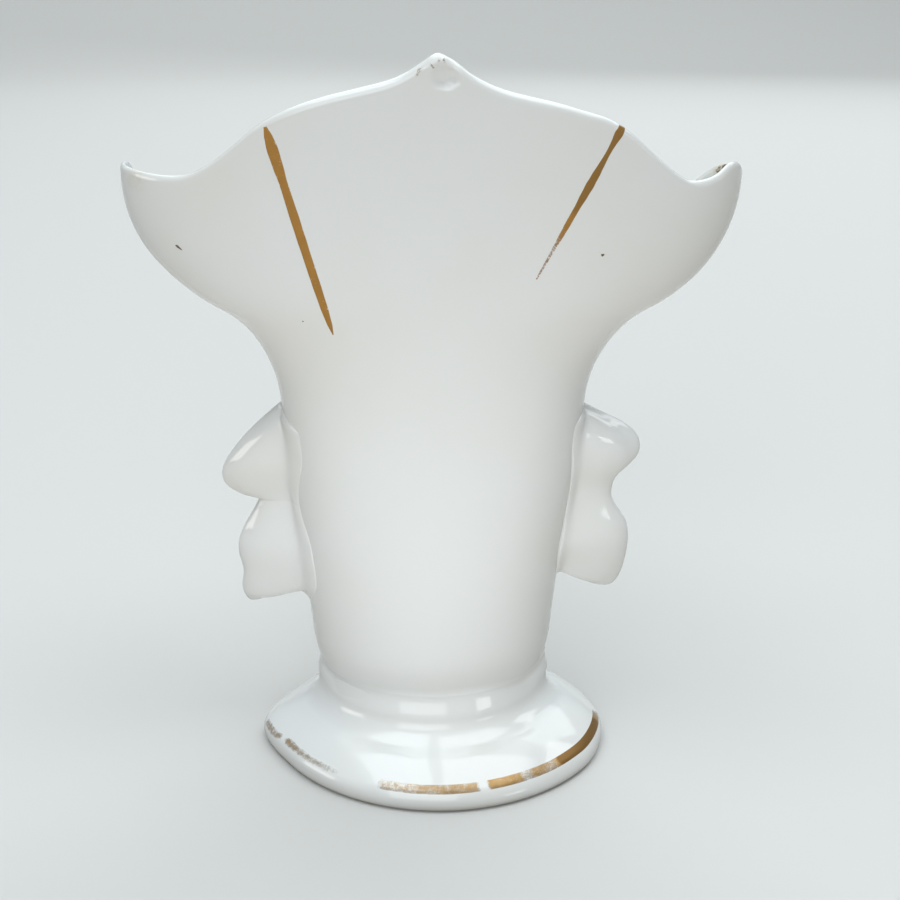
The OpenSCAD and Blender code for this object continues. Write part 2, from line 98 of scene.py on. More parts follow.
def cubic(v0: Values, s0: Values, v1: Values, s1: Values, span: Values, t: Values) -> np.ndarray:
    """Cubic from value v0 and slope s0 to value v1 and slope s1 over a span, at a share t of it."""
    fall = v0 * (1 + 2 * t) * (1 - t) ** 2 + v1 * t * t * (3 - 2 * t)
    return fall + span * (s0 * t * (1 - t) ** 2 - s1 * t * t * (1 - t))


def bell(x: np.ndarray, centre: float, half: float) -> np.ndarray:
    """Smooth hump of height 1: e to the minus square of the distance from its centre."""
    return np.exp(-(((x - centre) / half) ** 2))


def keyed(keys: Keys, at: np.ndarray) -> np.ndarray:
    """Smooth curve through keys.

    Args:
        keys: One row for each key: place, value and slope.
        at: Places where the curve is wanted.

    Returns:
        The value at each place: cubics that share value and slope at the keys.
    """
    place, value, slope = np.array(keys, float).T
    k = np.clip(np.searchsorted(place, at, side="right") - 1, 0, len(place) - 2)
    span = place[k + 1] - place[k]
    t = np.clip((at - place[k]) / span, 0.0, 1.0)
    return cubic(value[k], slope[k], value[k + 1], slope[k + 1], span, t)


def eased(keys: Keys, at: np.ndarray) -> np.ndarray:
    """Smooth curve through keys of place and value, level at each of them."""
    return keyed(tuple((*key, 0.0) for key in keys), at)


def between(a: Values, b: Values, share: Values) -> Values:
    """Value at a share of the way from a to b."""
    return a + (b - a) * share


def spots(x: Values, y: Values, z: Values) -> np.ndarray:
    """Points whose coordinates are spread over one grid."""
    return np.stack(np.broadcast_arrays(x, y, z), -1)


def oval(wave: np.ndarray, power: float) -> np.ndarray:
    """Cosine or sine of a superellipse: its size to the power 2/p, with its sign kept."""
    return np.sign(wave) * np.abs(wave) ** (2 / power)


def arc(centre: tuple[float, float], radius: float, start: float, end: float, steps: int) -> np.ndarray:
    """Points of an arc about a centre, from one angle to another in radians."""
    a = np.linspace(start, end, steps + 1)
    return np.stack([centre[0] + radius * np.cos(a), centre[1] + radius * np.sin(a)], -1)


def grid_faces(rows: int, columns: int, close_rows: bool = False, close_columns: bool = False) -> np.ndarray:
    """Quads of a grid of points that are numbered along its rows.

    Args:
        rows: Number of rows.
        columns: Points in each row.
        close_rows: Whether the last row is joined to the first.
        close_columns: Whether the last point of a row is joined to its first.

    Returns:
        Four point numbers for each quad.
    """
    i = np.arange(rows if close_rows else rows - 1)
    j = np.arange(columns if close_columns else columns - 1)
    i, j = np.meshgrid(i, j, indexing="ij")
    down, across = (i + 1) % rows, (j + 1) % columns
    quads = [i * columns + j, down * columns + j, down * columns + across, i * columns + across]
    return np.stack(quads, -1).reshape(-1, 4)


def loft_faces(loops: int, points: int) -> np.ndarray:
    """Quads of a closed tube through loops, with a strip across the first and the last loop as its ends.

    Args:
        loops: Number of loops.
        points: Points in each loop.

    Returns:
        Four point numbers for each quad, two of them alike where a strip ends in a triangle.
    """
    skin = grid_faces(loops, points, close_columns=True)
    j = np.arange((points - 1) // 2)
    strip = np.stack([j, j + 1, points - 2 - j, points - 1 - j], -1)
    return np.concatenate([skin, strip, strip[:, ::-1] + (loops - 1) * points])


def welded(points: np.ndarray, quads: np.ndarray) -> tuple[np.ndarray, list[list[int]], np.ndarray]:
    """Join points that lie together, so that poles and seams are closed.

    Args:
        points: Places in millimetres.
        quads: Four point numbers for each face.

    Returns:
        For each kept point the number of one of its old points, the faces that are left (quads, and triangles
        where two corners fell together), and for each face the number of its old quad.
    """
    _, keep, number = np.unique(np.round(points, WELD_DIGITS), axis=0, return_index=True, return_inverse=True)
    quads = number.reshape(-1)[quads]
    same = quads == np.roll(quads, -1, axis=1)
    whole, once = np.flatnonzero(same.sum(1) == 0), np.flatnonzero(same.sum(1) == 1)
    others = np.array([[1, 2, 3], [0, 2, 3], [0, 1, 3], [0, 1, 2]])
    triangles = np.take_along_axis(quads[once], others[same[once].argmax(1)], axis=1)
    return keep, [*quads[whole].tolist(), *triangles.tolist()], np.concatenate([whole, once])


@dataclass(frozen=True)
class Handwork:
    """Slow unevenness that pressing, luting and glazing leave in the clay."""

    depth: float = 0.2
    longest: float = 80.0
    shortest: float = 24.0
    waves: int = 10
    seed: int = 11

    def offset(self, points: np.ndarray) -> np.ndarray:
        """Height of the unevenness: sine waves in seeded directions, the longer the higher.

        Args:
            points: Places in millimetres.

        Returns:
            The height at each point.
        """
        rng = np.random.default_rng(self.seed)
        heading = rng.normal(size=(self.waves, 3))
        heading /= np.linalg.norm(heading, axis=1, keepdims=True)
        length = np.geomspace(self.longest, self.shortest, self.waves)
        phase = rng.uniform(0, math.tau, self.waves)
        turns = math.tau * points @ (heading / length[:, None]).T + phase
        return self.depth * (np.sin(turns) * length / length.sum()).sum(-1) * math.sqrt(self.waves)


def seen(tree: bpy.types.NodeTree) -> Socket:
    """Tell rays by which the camera sees a place, straight or in a gloss or a glass, from light that bounces.

    Args:
        tree: Nodes of a material or a world.

    Returns:
        1 for camera, glossy and transmission rays, and 0 for the rest.
    """
    rays = tree.nodes.new("ShaderNodeLightPath").outputs
    total = rays["Is Camera Ray"]
    for ray in ("Is Glossy Ray", "Is Transmission Ray"):
        node = tree.nodes.new("ShaderNodeMath")
        tree.links.new(total, node.inputs[0])
        tree.links.new(rays[ray], node.inputs[1])
        total = node.outputs[0]
    return total


class Shader:
    """Builds a procedural material on Object coordinates and the piece's own attributes."""

    def __init__(self, name: str) -> None:
        """Start a material with one principled surface."""
        self.material = bpy.data.materials.new(name)
        self.material.use_nodes = True
        self.tree = self.material.node_tree
        self.surface = self.tree.nodes["Principled BSDF"]
        self.coords = self.tree.nodes.new("ShaderNodeTexCoord")

    def feed(self, socket: Socket, value: Feed) -> None:
        """Link a socket's input, or set it where the value is a constant.

        Args:
            socket: The input.
            value: Output of a node, number or colour.
        """
        if isinstance(value, Socket):
            self.tree.links.new(value, socket)
        elif socket.type == "RGBA":
            socket.default_value = (*value, 1.0)
        else:
            socket.default_value = value

    def set(self, **inputs: Feed) -> None:
        """Feed sockets of the surface, named with underscores for spaces."""
        for name, value in inputs.items():
            self.feed(self.surface.inputs[name.replace("_", " ")], value)

    def node(self, kind: str, feeds: dict[str | int, Feed], **settings: str) -> bpy.types.Node:
        """New node.

        Args:
            kind: Its type, without the prefix that all shader nodes have.
            feeds: Its inputs by name or number.
            settings: Its properties by name.

        Returns:
            The node.
        """
        node = self.tree.nodes.new(f"ShaderNode{kind}")
        for name, setting in settings.items():
            setattr(node, name, setting)
        for socket, value in feeds.items():
            self.feed(node.inputs[socket], value)
        return node

    def noise(self, scale: float, detail: float = 2.0) -> Socket:
        """Noise on Object coordinates, with so many waves in a metre and so many finer ones added."""
        feeds = {"Vector": self.coords.outputs["Object"], "Scale": scale, "Detail": detail}
        return self.node("TexNoise", feeds).outputs["Fac"]

    def attribute(self, name: str) -> Socket:
        """A number that the piece's mesh carries at its points."""
        return self.node("Attribute", {}, attribute_name=name).outputs["Fac"]

    def math(self, operation: str, a: Feed, b: Feed) -> Socket:
        """Sum, difference or product of two inputs."""
        return self.node("Math", {0: a, 1: b}, operation=operation).outputs[0]

    def spread(self, value: Feed, low: float, high: float, to_low: Feed = 0.0, to_high: Feed = 1.0) -> Socket:
        """Map a range to another with eased ends."""
        feeds = dict(enumerate((value, low, high, to_low, to_high)))
        return self.node("MapRange", feeds, interpolation_type="SMOOTHSTEP").outputs[0]

    def mix(self, share: Feed, a: Feed, b: Feed) -> Socket:
        """Colour between a and b, by the share of b."""
        return self.node("Mix", {0: share, 6: a, 7: b}, data_type="RGBA").outputs[2]

    def bump(self, height: Feed, distance: float, strength: float) -> None:
        """Small relief on the surface's shading, as deep as the distance in metres."""
        node = self.node("Bump", {"Height": height, "Distance": distance, "Strength": strength})
        self.feed(self.surface.inputs["Normal"], node.outputs["Normal"])


@dataclass(frozen=True)
class Glaze:
    """Clear gloss over white porcelain, with slow drifts of tint, a faint ripple and stained places."""

    name: str = "glazed_porcelain"
    white: Colour = (0.765, 0.785, 0.78)
    cream: Colour = (0.75, 0.755, 0.725)
    stained: Colour = (0.62, 0.53, 0.33)
    burnt: Colour = (0.15, 0.1, 0.045)
    drift_scale: float = 22.0
    drift_range: tuple[float, float] = (0.35, 0.75)
    stain_scale: float = 900.0
    stain_range: tuple[float, float] = (0.3, 0.7)
    least_stain: float = 0.3
    burnt_range: tuple[float, float] = (0.45, 0.8)
    gloss_scale: float = 66.0
    gloss_range: tuple[float, float] = (0.3, 0.8)
    smooth_rough: float = 0.05
    dull_rough: float = 0.12
    refraction: float = 1.5
    ripple_scale: float = 160.0
    ripple_depth: float = 0.00004
    ripple_strength: float = 0.6

    def coat(self, s: Shader) -> tuple[Socket, Socket]:
        """Lay the glaze's body and ripple into a shader.

        Args:
            s: The shader to fill.

        Returns:
            The glaze's colour, which drifts to cream over a few centimetres, and its uneven roughness.
        """
        drift = s.spread(s.noise(self.drift_scale, detail=3.0), *self.drift_range)
        tint = s.mix(drift, self.white, self.cream)
        blotch = s.spread(s.noise(self.stain_scale, detail=3.0), *self.stain_range, self.least_stain)
        stain = s.math("MULTIPLY", s.attribute("stain"), blotch)
        s.set(IOR=self.refraction)
        s.bump(s.noise(self.ripple_scale, detail=1.0), self.ripple_depth, self.ripple_strength)
        gloss = s.spread(s.noise(self.gloss_scale), *self.gloss_range, self.smooth_rough, self.dull_rough)
        dark = s.spread(stain, *self.burnt_range)
        return s.mix(dark, s.mix(stain, tint, self.stained), self.burnt), gloss

    def material(self) -> Material:
        """The glaze alone.

        Returns:
            The material.
        """
        s = Shader(self.name)
        colour, gloss = self.coat(s)
        s.set(Base_Color=colour, Roughness=gloss)
        return s.material


@dataclass(frozen=True)
class Biscuit:
    """Bare fired porcelain, where the standing ring was wiped clean of glaze and has picked up grime."""

    name: str = "bare_biscuit"
    clay: Colour = (0.66, 0.63, 0.56)
    grime: Colour = (0.36, 0.31, 0.24)
    grime_scale: float = 420.0
    grime_range: tuple[float, float] = (0.48, 0.75)
    most_grime: float = 0.8
    rough_scale: float = 900.0
    rough_range: tuple[float, float] = (0.2, 0.8)
    roughness: tuple[float, float] = (0.55, 0.85)
    grain_scale: float = 2600.0
    grain_depth: float = 0.00006
    grain_strength: float = 0.5

    def material(self) -> Material:
        """Matt clay with grime in fine patches.

        Returns:
            The material.
        """
        s = Shader(self.name)
        dirt = s.spread(s.noise(self.grime_scale, detail=5.0), *self.grime_range, 0.0, self.most_grime)
        s.set(Base_Color=s.mix(dirt, self.clay, self.grime))
        s.set(Roughness=s.spread(s.noise(self.rough_scale), *self.rough_range, *self.roughness))
        s.bump(s.noise(self.grain_scale, detail=3.0), self.grain_depth, self.grain_strength)
        return s.material


@dataclass(frozen=True)
class Gilt:
    """Fired liquid gold, brushed on by hand.

    It is deep where its cover is thick, faded where it is thin, and worn off where it is low.
    """

    name: str
    gold: Colour
    deep: Colour
    faded: Colour
    metal: float
    roughness: float
    grain_scale: float = 3400.0
    softness: float = 0.2
    white_gloss: float = 0.2
    grain_wear: float = 1.5
    patch_wear: float = 0.7
    patch_share: float = 0.2
    cloud_share: float = 0.12
    cloud_range: tuple[float, float] = (0.3, 0.7)
    most_cloud: float = 0.35
    thick_range: tuple[float, float] = (0.95, 1.25)
    thin_range: tuple[float, float] = (0.45, 0.9)

    def material(self, glaze: Glaze) -> Material:
        """Gold where the piece's cover, roughened by grain, passes one half; glaze elsewhere.

        Args:
            glaze: The finish that shows where the gold is worn away.

        Returns:
            The material.
        """
        s = Shader(self.name)
        colour, gloss = glaze.coat(s)
        cover = s.attribute("cover")
        grain = s.math("SUBTRACT", s.noise(self.grain_scale, detail=4.0), 0.5)
        patch = s.math("SUBTRACT", s.noise(self.grain_scale * self.patch_share), 0.5)
        worn = (s.math("MULTIPLY", grain, self.grain_wear), s.math("MULTIPLY", patch, self.patch_wear))
        left = s.math("ADD", cover, s.math("ADD", *worn))
        shown = s.spread(left, 0.5 - self.softness, 0.5 + self.softness)
        clouds = s.noise(self.grain_scale * self.cloud_share, detail=3.0)
        cloud = s.spread(clouds, *self.cloud_range, 0.0, self.most_cloud)
        thick = s.spread(cover, *self.thick_range)
        thin = s.spread(cover, *self.thin_range, 1.0, 0.0)
        tone = s.mix(s.math("ADD", cloud, thick), s.mix(thin, self.gold, self.faded), self.deep)
        s.set(Base_Color=s.mix(shown, colour, tone), Metallic=s.math("MULTIPLY", shown, self.metal))
        s.set(Roughness=s.spread(shown, 0.0, 1.0, gloss, self.roughness), Specular_IOR_Level=self.white_gloss)
        return s.material


@dataclass(frozen=True)
class Fleck:
    """Iron fleck burnt into the glaze."""

    name: str = "iron_fleck"
    core: Colour = (0.05, 0.035, 0.022)
    edge: Colour = (0.22, 0.15, 0.09)
    grain_scale: float = 5000.0
    roughness: float = 0.15

    def material(self) -> Material:
        """Brown that darkens in fine grains, under the gloss of the glaze.

        Returns:
            The material.
        """
        s = Shader(self.name)
        s.set(Base_Color=s.mix(s.noise(self.grain_scale), self.core, self.edge), Roughness=self.roughness)
        return s.material


def placed(name: str, data: bpy.types.ID) -> bpy.types.Object:
    """New object in the scene.

    Args:
        name: Name of the object.
        data: Its mesh, lamp or camera.

    Returns:
        The object.
    """
    thing = bpy.data.objects.new(name, data)
    bpy.context.scene.collection.objects.link(thing)
    return thing


@dataclass
class Workshop:
    """Puts surfaces into meshes and ties each piece to the frame."""

    finished: list[str] = field(default_factory=list)

    def piece(self, name: str, points: np.ndarray, quads: np.ndarray, materials: list[Material],
              slot: Slot, nodes: tuple[str, ...] = (), marks: dict[str, np.ndarray] | None = None,
              finish_of: np.ndarray | None = None, flat: np.ndarray | None = None) -> None:
        """One closed piece of the vase, which rides on the only body.

        Args:
            name: Name of the piece.
            points: Places in millimetres, in a row or a grid.
            quads: Four point numbers for each face, all wound alike.
            materials: Finishes of the piece.
            slot: Material slot of the record that the piece belongs to. It is not used.
            nodes: Nodes of the frame that the piece stands for.
            marks: Shares at each point that a finish reads: cover of gilding, or stain.
            finish_of: Number of the finish for each quad, if there are several.
            flat: Whether each quad is shaded flat, if some are.
        """
        points = points.reshape(-1, 3)
        a, b, c, d = (points[quads[:, i]] for i in range(4))
        if np.einsum("ij,ij->", a - points[0], np.cross(b - a, d - a) + np.cross(c - b, d - b)) < 0:
            quads = quads[:, ::-1]
        keep, faces, source = welded(points, quads)
        points = points[keep]
        mesh = bpy.data.meshes.new(name)
        mesh.from_pydata((points * MM).tolist(), [], faces)
        mesh.polygons.foreach_set("use_smooth", np.ones(len(faces), bool) if flat is None else ~flat[source])
        for material in materials:
            mesh.materials.append(material)
        if finish_of is not None:
            mesh.polygons.foreach_set("material_index", finish_of[source])
        for mark, share in (marks or {}).items():
            values = share.reshape(-1)[keep].astype(np.float32)
            mesh.attributes.new(mark, "FLOAT", "POINT").data.foreach_set("value", values)
        mesh.update()
        piece = placed(name, mesh)
        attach(piece, "root")
        if nodes:
            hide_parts(*nodes)
        self.finished.append(name)
        LOG.info("%s: %d faces, stands for %s", name, len(faces), ", ".join(nodes) or "nothing in the frame")


@dataclass(frozen=True)
class Rim:
    """One half of the rim, from the peak to the ear.

    Each key is a distance from the peak, a drop below it and the slope there. The far wall's rim lies lower,
    by far_peak at the peak and by far_drop beside it, and climbs to the ear as a power of the distance.
    """

    keys: Keys
    far_drop: float
    far_power: float
    far_peak: float = 8.0
    far_blend: float = 0.6

    def drop(self, wall: Wall, out: np.ndarray, share: np.ndarray) -> np.ndarray:
        """Drop of the rim below the peak.

        Args:
            wall: Which of the walls.
            out: Distance from the peak.
            share: Share of the half width.

        Returns:
            The drop at each place.
        """
        drop = keyed(self.keys, out)
        if wall is Wall.FRONT:
            lower = between(self.far_peak, self.far_drop, smooth(share / self.far_blend))
            drop = drop + lower * (1 - np.clip(share, 0, 1) ** self.far_power)
        return drop


@dataclass(frozen=True)
class Dent:
    """Shallow thumb mark with a steep lower edge, pressed into the rear wall below the peak."""

    x: float = 1.5
    z: float = 146.5
    half_w: float = 2.6
    half_h: float = 2.2
    depth: float = 0.6
    lean: float = 0.9
    slant: float = 0.7
    steepness: float = 1.6

    def push(self, points: np.ndarray) -> np.ndarray:
        """How far the surface is pushed in: a round bowl that is deepest and steepest at its lower right.

        Args:
            points: Places on a wall.

        Returns:
            The depth at each point, none on the front wall.
        """
        u = (points[..., 0] - self.x) / self.half_w
        v = (points[..., 2] - self.z) / self.half_h
        bowl = np.clip(1 - u * u - v * v, 0, 1)
        low = 1 + self.lean * (self.slant * u - self.slant * v)
        return np.where(points[..., 1] < 0, self.depth * smooth(self.steepness * bowl) * low, 0.0)


@dataclass
class Body:
    """The two walls: a waisted body that opens into a fan with a peaked, eared rim.

    The plan at each height is a superellipse, and the side outline is a straight taper, a hollow arc that
    turns out at the waist and a full arc that stands upright at the ears.
    """

    height: float
    fan_half: float
    base_z: float
    handwork: Handwork
    waist_half: float = 31.0
    waist_z: float = 80.0
    base_half: float = 25.0
    base_depth: float = 19.02
    waist_depth: float = 19.5
    mouth_depth: float = 23.0
    flare_r: float = 24.5
    upright_drop: float = 24.6
    base_power: float = 1.85
    fan_power: float = 2.2
    wall_t: float = 3.2
    tuck_in: float = 1.8
    tuck_side: float = 1.0
    tuck_h: float = 8.0
    peak_r: float = 1.8
    peak_x: float = 0.3
    peak_tip: float = 0.4
    peak_tip_half: float = 1.4
    lip_h: float = 1.5
    ear_lip_h: float = 1.3
    ear_lip_from: float = 0.65
    ear_lip_over: float = 0.3
    ear_t: float = 1.4
    ear_t_from: float = 0.66
    ear_t_over: float = 0.26
    left_stain: tuple[float, float, float] = (-56.2, -8.0, 126.4)
    left_stain_share: float = 0.38
    left_stain_r: float = 2.6
    right_stain: tuple[float, float, float] = (57.4, 5.4, 125.4)
    right_stain_share: float = 1.3
    right_stain_r: float = 2.0
    slack: float = 1.5
    slack_z: float = 101.0
    slack_h: float = 9.0
    columns: int = 283
    seam_turn: float = 0.0005
    seam_y: float = 0.001
    low_rows: int = 52
    low_crowding: float = 1.6
    fan_rows: int = 84
    lip_steps: int = 12
    dent: Dent = Dent()
    left_rim: Rim = Rim(((0, 0, 0.8), (5, 3.4, 0.5), (10, 5.1, 0.25), (24, 8.9, 0.38), (33, 13.8, 0.84),
                         (48, 22.7, 0.05), (58.7, 22.1, -0.1)), 9.5, 22.0)
    right_rim: Rim = Rim(((0, 0, 0.3), (2.4, 1.4, 0.78), (5, 3.45, 0.62), (12, 6.5, 0.28), (24, 9.6, 0.34),
                          (33, 13.2, 0.72), (41, 20.0, 0.84), (48.5, 24.2, -0.05), (52.4, 23.3, -0.5),
                          (55.0, 21.7, -0.35), (58.7, 24.0, 1.6)), 5.4, 22.0)

    @classmethod
    def from_frame(cls, handwork: Handwork) -> "Body":
        """Body whose height, width and base are the frame's."""
        low, high = (np.array(corner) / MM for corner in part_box("rear_wall"))
        return cls(height=high[2], fan_half=high[0], base_z=low[2], handwork=handwork)

    def outline(self, z: np.ndarray, inset: Values = 0.0) -> np.ndarray:
        """Half width of the side outline.

        Args:
            z: Heights.
            inset: How far the outline is drawn in along its normal.

        Returns:
            The half width at each height.
        """
        taper = (self.waist_half - self.base_half) / (self.waist_z - self.base_z)
        lean = math.hypot(1.0, taper)
        upright = self.height - self.upright_drop
        flare_x = self.waist_half + self.flare_r / lean
        flare_z = self.waist_z - self.flare_r * taper / lean
        p, q = flare_x - self.fan_half, upright - flare_z
        ear_r = (p * p + q * q - self.flare_r**2) / (2 * (self.flare_r - p))
        turn = flare_z + q / (self.flare_r + ear_r) * (self.flare_r + inset)
        hollow = flare_x - np.sqrt(np.maximum((self.flare_r + inset) ** 2 - (z - flare_z) ** 2, 0))
        full = self.fan_half - ear_r + np.sqrt(np.maximum((ear_r - inset) ** 2 - (z - upright) ** 2, 0))
        straight = self.base_half + taper * (z - self.base_z) - inset * lean
        return np.select([z <= self.waist_z + inset * taper / lean, z <= turn, z <= upright],
                         [straight, hollow, full], self.fan_half - inset)

    def depth(self, z: np.ndarray) -> np.ndarray:
        """Half depth of the plan: a straight slope up to the waist, then bowed out to the mouth.

        Args:
            z: Heights.

        Returns:
            The half depth at each height.
        """
        slope = (self.waist_depth - self.base_depth) / (self.waist_z - self.base_z)
        rise = self.height - self.waist_z
        bow = (self.mouth_depth - self.waist_depth - slope * rise) / rise**2
        up = z - self.waist_z
        return self.waist_depth + slope * up + bow * np.maximum(up, 0) ** 2

    def power(self, z: Values) -> np.ndarray:
        """Power of the plan's superellipse at height z."""
        up = (z - self.base_z) / (self.waist_z - self.base_z)
        return between(self.base_power, self.fan_power, smooth(up))

    def tuck(self, share: np.ndarray, z: np.ndarray) -> np.ndarray:
        """How far the bottom edge is drawn in, as the square of the way down: less at the seams."""
        t = np.clip(1 - (z - self.base_z) / self.tuck_h, 0, 1)
        return between(self.tuck_in, self.tuck_side, share**2) * t**2

    def rim(self, wall: Wall, x: np.ndarray) -> np.ndarray:
        """Height of the rim: cubics through the peak, shoulder, dip and ear.

        Args:
            wall: Which of the walls.
            x: Places across the vase.

        Returns:
            The height at each place.
        """
        out = np.sqrt((x - self.peak_x) ** 2 + self.peak_r**2) - self.peak_r
        share = np.abs(x) / self.fan_half
        left, right = (rim.drop(wall, out, share) for rim in (self.left_rim, self.right_rim))
        tip = self.peak_tip * bell(x, self.peak_x, self.peak_tip_half)
        return self.height - np.where(x < self.peak_x, left, right) + tip

    def lip(self, share: np.ndarray) -> np.ndarray:
        """Height of the rounded lip at a share of the half width: lower at the ears."""
        near_ear = smooth((np.abs(share) - self.ear_lip_from) / self.ear_lip_over)
        return between(self.lip_h, self.ear_lip_h, near_ear)

    def lip_fall(self, wall: Wall, x: np.ndarray, z: np.ndarray) -> np.ndarray:
        """How far the lip has turned in: the fall of a half oval as deep as the wall is thick.

        Args:
            wall: Which of the walls.
            x: Places across the vase.
            z: Height of each place.

        Returns:
            The fall at each place.
        """
        lip = self.lip(x / self.fan_half)
        up = np.clip((z - self.rim(wall, x)) / lip + 1, 0, 1)
        return self.wall_t / 2 * (1 - np.sqrt(1 - up**2))

    def skin(self, wall: Wall, share: np.ndarray, z: np.ndarray, inset: Values = 0.0,
             lift: Values = 0.0) -> np.ndarray:
        """Points of a wall's surface.

        Args:
            wall: Which of the walls.
            share: Share of the half width, from -1 at the left seam to 1 at the right one.
            z: Height of each point.
            inset: How far the surface lies in from the outside.
            lift: How far it stands out from there along the plan's normal.

        Returns:
            Superellipse points x = share·a and y = ±b·(1 - |share|^p)^(1/p), with a slack left flank, moved
            along the plan's normal by the handwork, the tucked bottom edge, the dent and the lift.
        """
        share, z = np.broadcast_arrays(share, z)
        a, b, p = self.outline(z, inset), self.depth(z) - inset, self.power(z)
        a = a - self.slack * bell(z, self.slack_z, self.slack_h) * np.clip(-share, 0, 1) ** 2
        rest = np.clip(1 - np.abs(share) ** p, 0, 1)
        points = spots(share * a, wall.value * b * rest ** (1 / p), z)
        normal = spots(np.sign(share) * np.abs(share) ** (p - 1) / a,
                       wall.value * rest ** ((p - 1) / p) / b, 0.0)
        normal /= np.linalg.norm(normal, axis=-1, keepdims=True)
        move = self.handwork.offset(points) + lift
        if not np.any(inset):
            move = move - self.tuck(share, z) - self.dent.push(points)
        return points + normal * np.asarray(move)[..., None]

    def side_x(self, side: Side, y: np.ndarray, z: np.ndarray) -> np.ndarray:
        """Distance of the outside from the middle.

        Args:
            side: Which of the sides.
            y: Distances from the seam plane.
            z: Height of each place.

        Returns:
            The distance at each place.
        """
        p = self.power(z)
        x = self.outline(z) * np.clip(1 - (np.abs(y) / self.depth(z)) ** p, 0, 1) ** (1 / p)
        return x + self.handwork.offset(spots(side.value * x, y, z))

    def wall(self, wall: Wall) -> tuple[np.ndarray, np.ndarray]:
        """One wall as a closed shell: up the outside, over an oval lip and down the inside.

        Args:
            wall: Which of the walls.

        Returns:
            Points and quads. The columns are even in angle across the plan, so that they crowd at the seams,
            and the last ones are so thin that both walls have one normal there.
        """
        turn = np.linspace(-1, 1, self.columns) * math.pi / 2
        turn[[1, -2]] = turn[[0, -1]] + np.array([self.seam_turn, -self.seam_turn])
        share = np.sin(turn)[:, None]
        lip = self.lip(share)
        top = self.rim(wall, share * self.fan_half) - lip
        low = between(self.base_z, self.waist_z, np.linspace(0, 1, self.low_rows) ** self.low_crowding)
        rise = np.linspace(0, 1, self.fan_rows + 1)[1:]
        rise = (rise + np.sin(rise * math.pi / 2)) / 2
        z = np.concatenate([np.broadcast_to(low, (self.columns, self.low_rows)),
                            between(self.waist_z, top, rise)], axis=1)
        outside = self.skin(wall, share, z)
        thin = smooth((np.abs(share) - self.ear_t_from) / self.ear_t_over)
        thin = thin * smooth((z - self.waist_z) / (self.fan_half / 2))
        inside = self.skin(wall, share, z, between(self.wall_t, self.ear_t, thin))
        turn = np.linspace(0, math.pi, self.lip_steps + 1)[1:-1]
        over = ((1 - np.cos(turn)) / 2)[None, :, None]
        crest = outside[:, -1:] * (1 - over) + inside[:, -1:] * over
        crest[..., 2] += lip * np.sin(turn)
        loops = np.concatenate([outside, crest, inside[:, ::-1]], axis=1)
        return loops.reshape(-1, 3), loft_faces(*loops.shape[:2])

    def stain(self, points: np.ndarray) -> np.ndarray:
        """Yellow stain at the left ear and a brown one inside the right ear.

        Args:
            points: Places on a wall.

        Returns:
            The share of stain at each point.
        """
        left, right = (np.linalg.norm(points - np.array(stain), axis=-1)
                       for stain in (self.left_stain, self.right_stain))
        yellow = self.left_stain_share * bell(left, 0.0, self.left_stain_r)
        return yellow + self.right_stain_share * bell(right, 0.0, self.right_stain_r)

    def build(self, shop: Workshop, glaze: Material) -> None:
        """Both walls, which meet at the seams, where the glaze hides the slip.

        Args:
            shop: Where the pieces are made.
            glaze: Their finish.
        """
        nodes = {Wall.REAR: ("rear_wall", "left_seam_slip", "right_seam_slip"), Wall.FRONT: ("front_wall",)}
        for wall in Wall:
            points, quads = self.wall(wall)
            hidden = (np.abs(points[quads][:, :, 1]) < self.seam_y).all(1)
            shop.piece(f"{wall.name.lower()}_wall_glazed", points, quads, [glaze], Slot.PORCELAIN,
                       nodes[wall], {"stain": self.stain(points)}, flat=hidden)


@dataclass
class Bat:
    """Slab that closes the bottom of the well, dished where it was smoothed against the walls."""

    body: Body
    thickness: float = 4.0
    fillet: float = 2.6
    flat_share: float = 0.86
    turn_share: float = 0.16
    first_ring: float = 0.88
    last_ring: float = 1.02
    flat_rings: int = 6
    rings: int = 20
    steps: int = 160

    def build(self, shop: Workshop, glaze: Material) -> None:
        """Rings of the wall's inner plan, flat below and turned up above in a quarter round at the edge.

        Args:
            shop: Where the piece is made.
            glaze: Its finish.
        """
        share = np.concatenate([np.linspace(0, self.flat_share, self.flat_rings),
                                np.linspace(self.first_ring, self.last_ring, self.rings)])
        edge = np.clip((share - self.flat_share) / self.turn_share, 0, 1)
        upper = self.thickness + self.fillet * (1 - np.sqrt(1 - edge**2))
        reach = np.concatenate([share, share[::-1]])[:, None]
        rise = np.concatenate([upper, np.zeros_like(share)])[:, None]
        a = np.linspace(0, math.tau, self.steps, endpoint=False)
        p = self.body.power(self.body.base_z)
        half = self.body.base_half - self.body.wall_t
        deep = self.body.base_depth - self.body.wall_t
        points = spots(reach * oval(np.cos(a), p) * half, reach * oval(np.sin(a), p) * deep,
                       self.body.base_z + rise)
        quads = grid_faces(len(reach), self.steps, close_columns=True)
        shop.piece("well_bat_glazed", points, quads, [glaze], Slot.PORCELAIN, ("well_bat",))


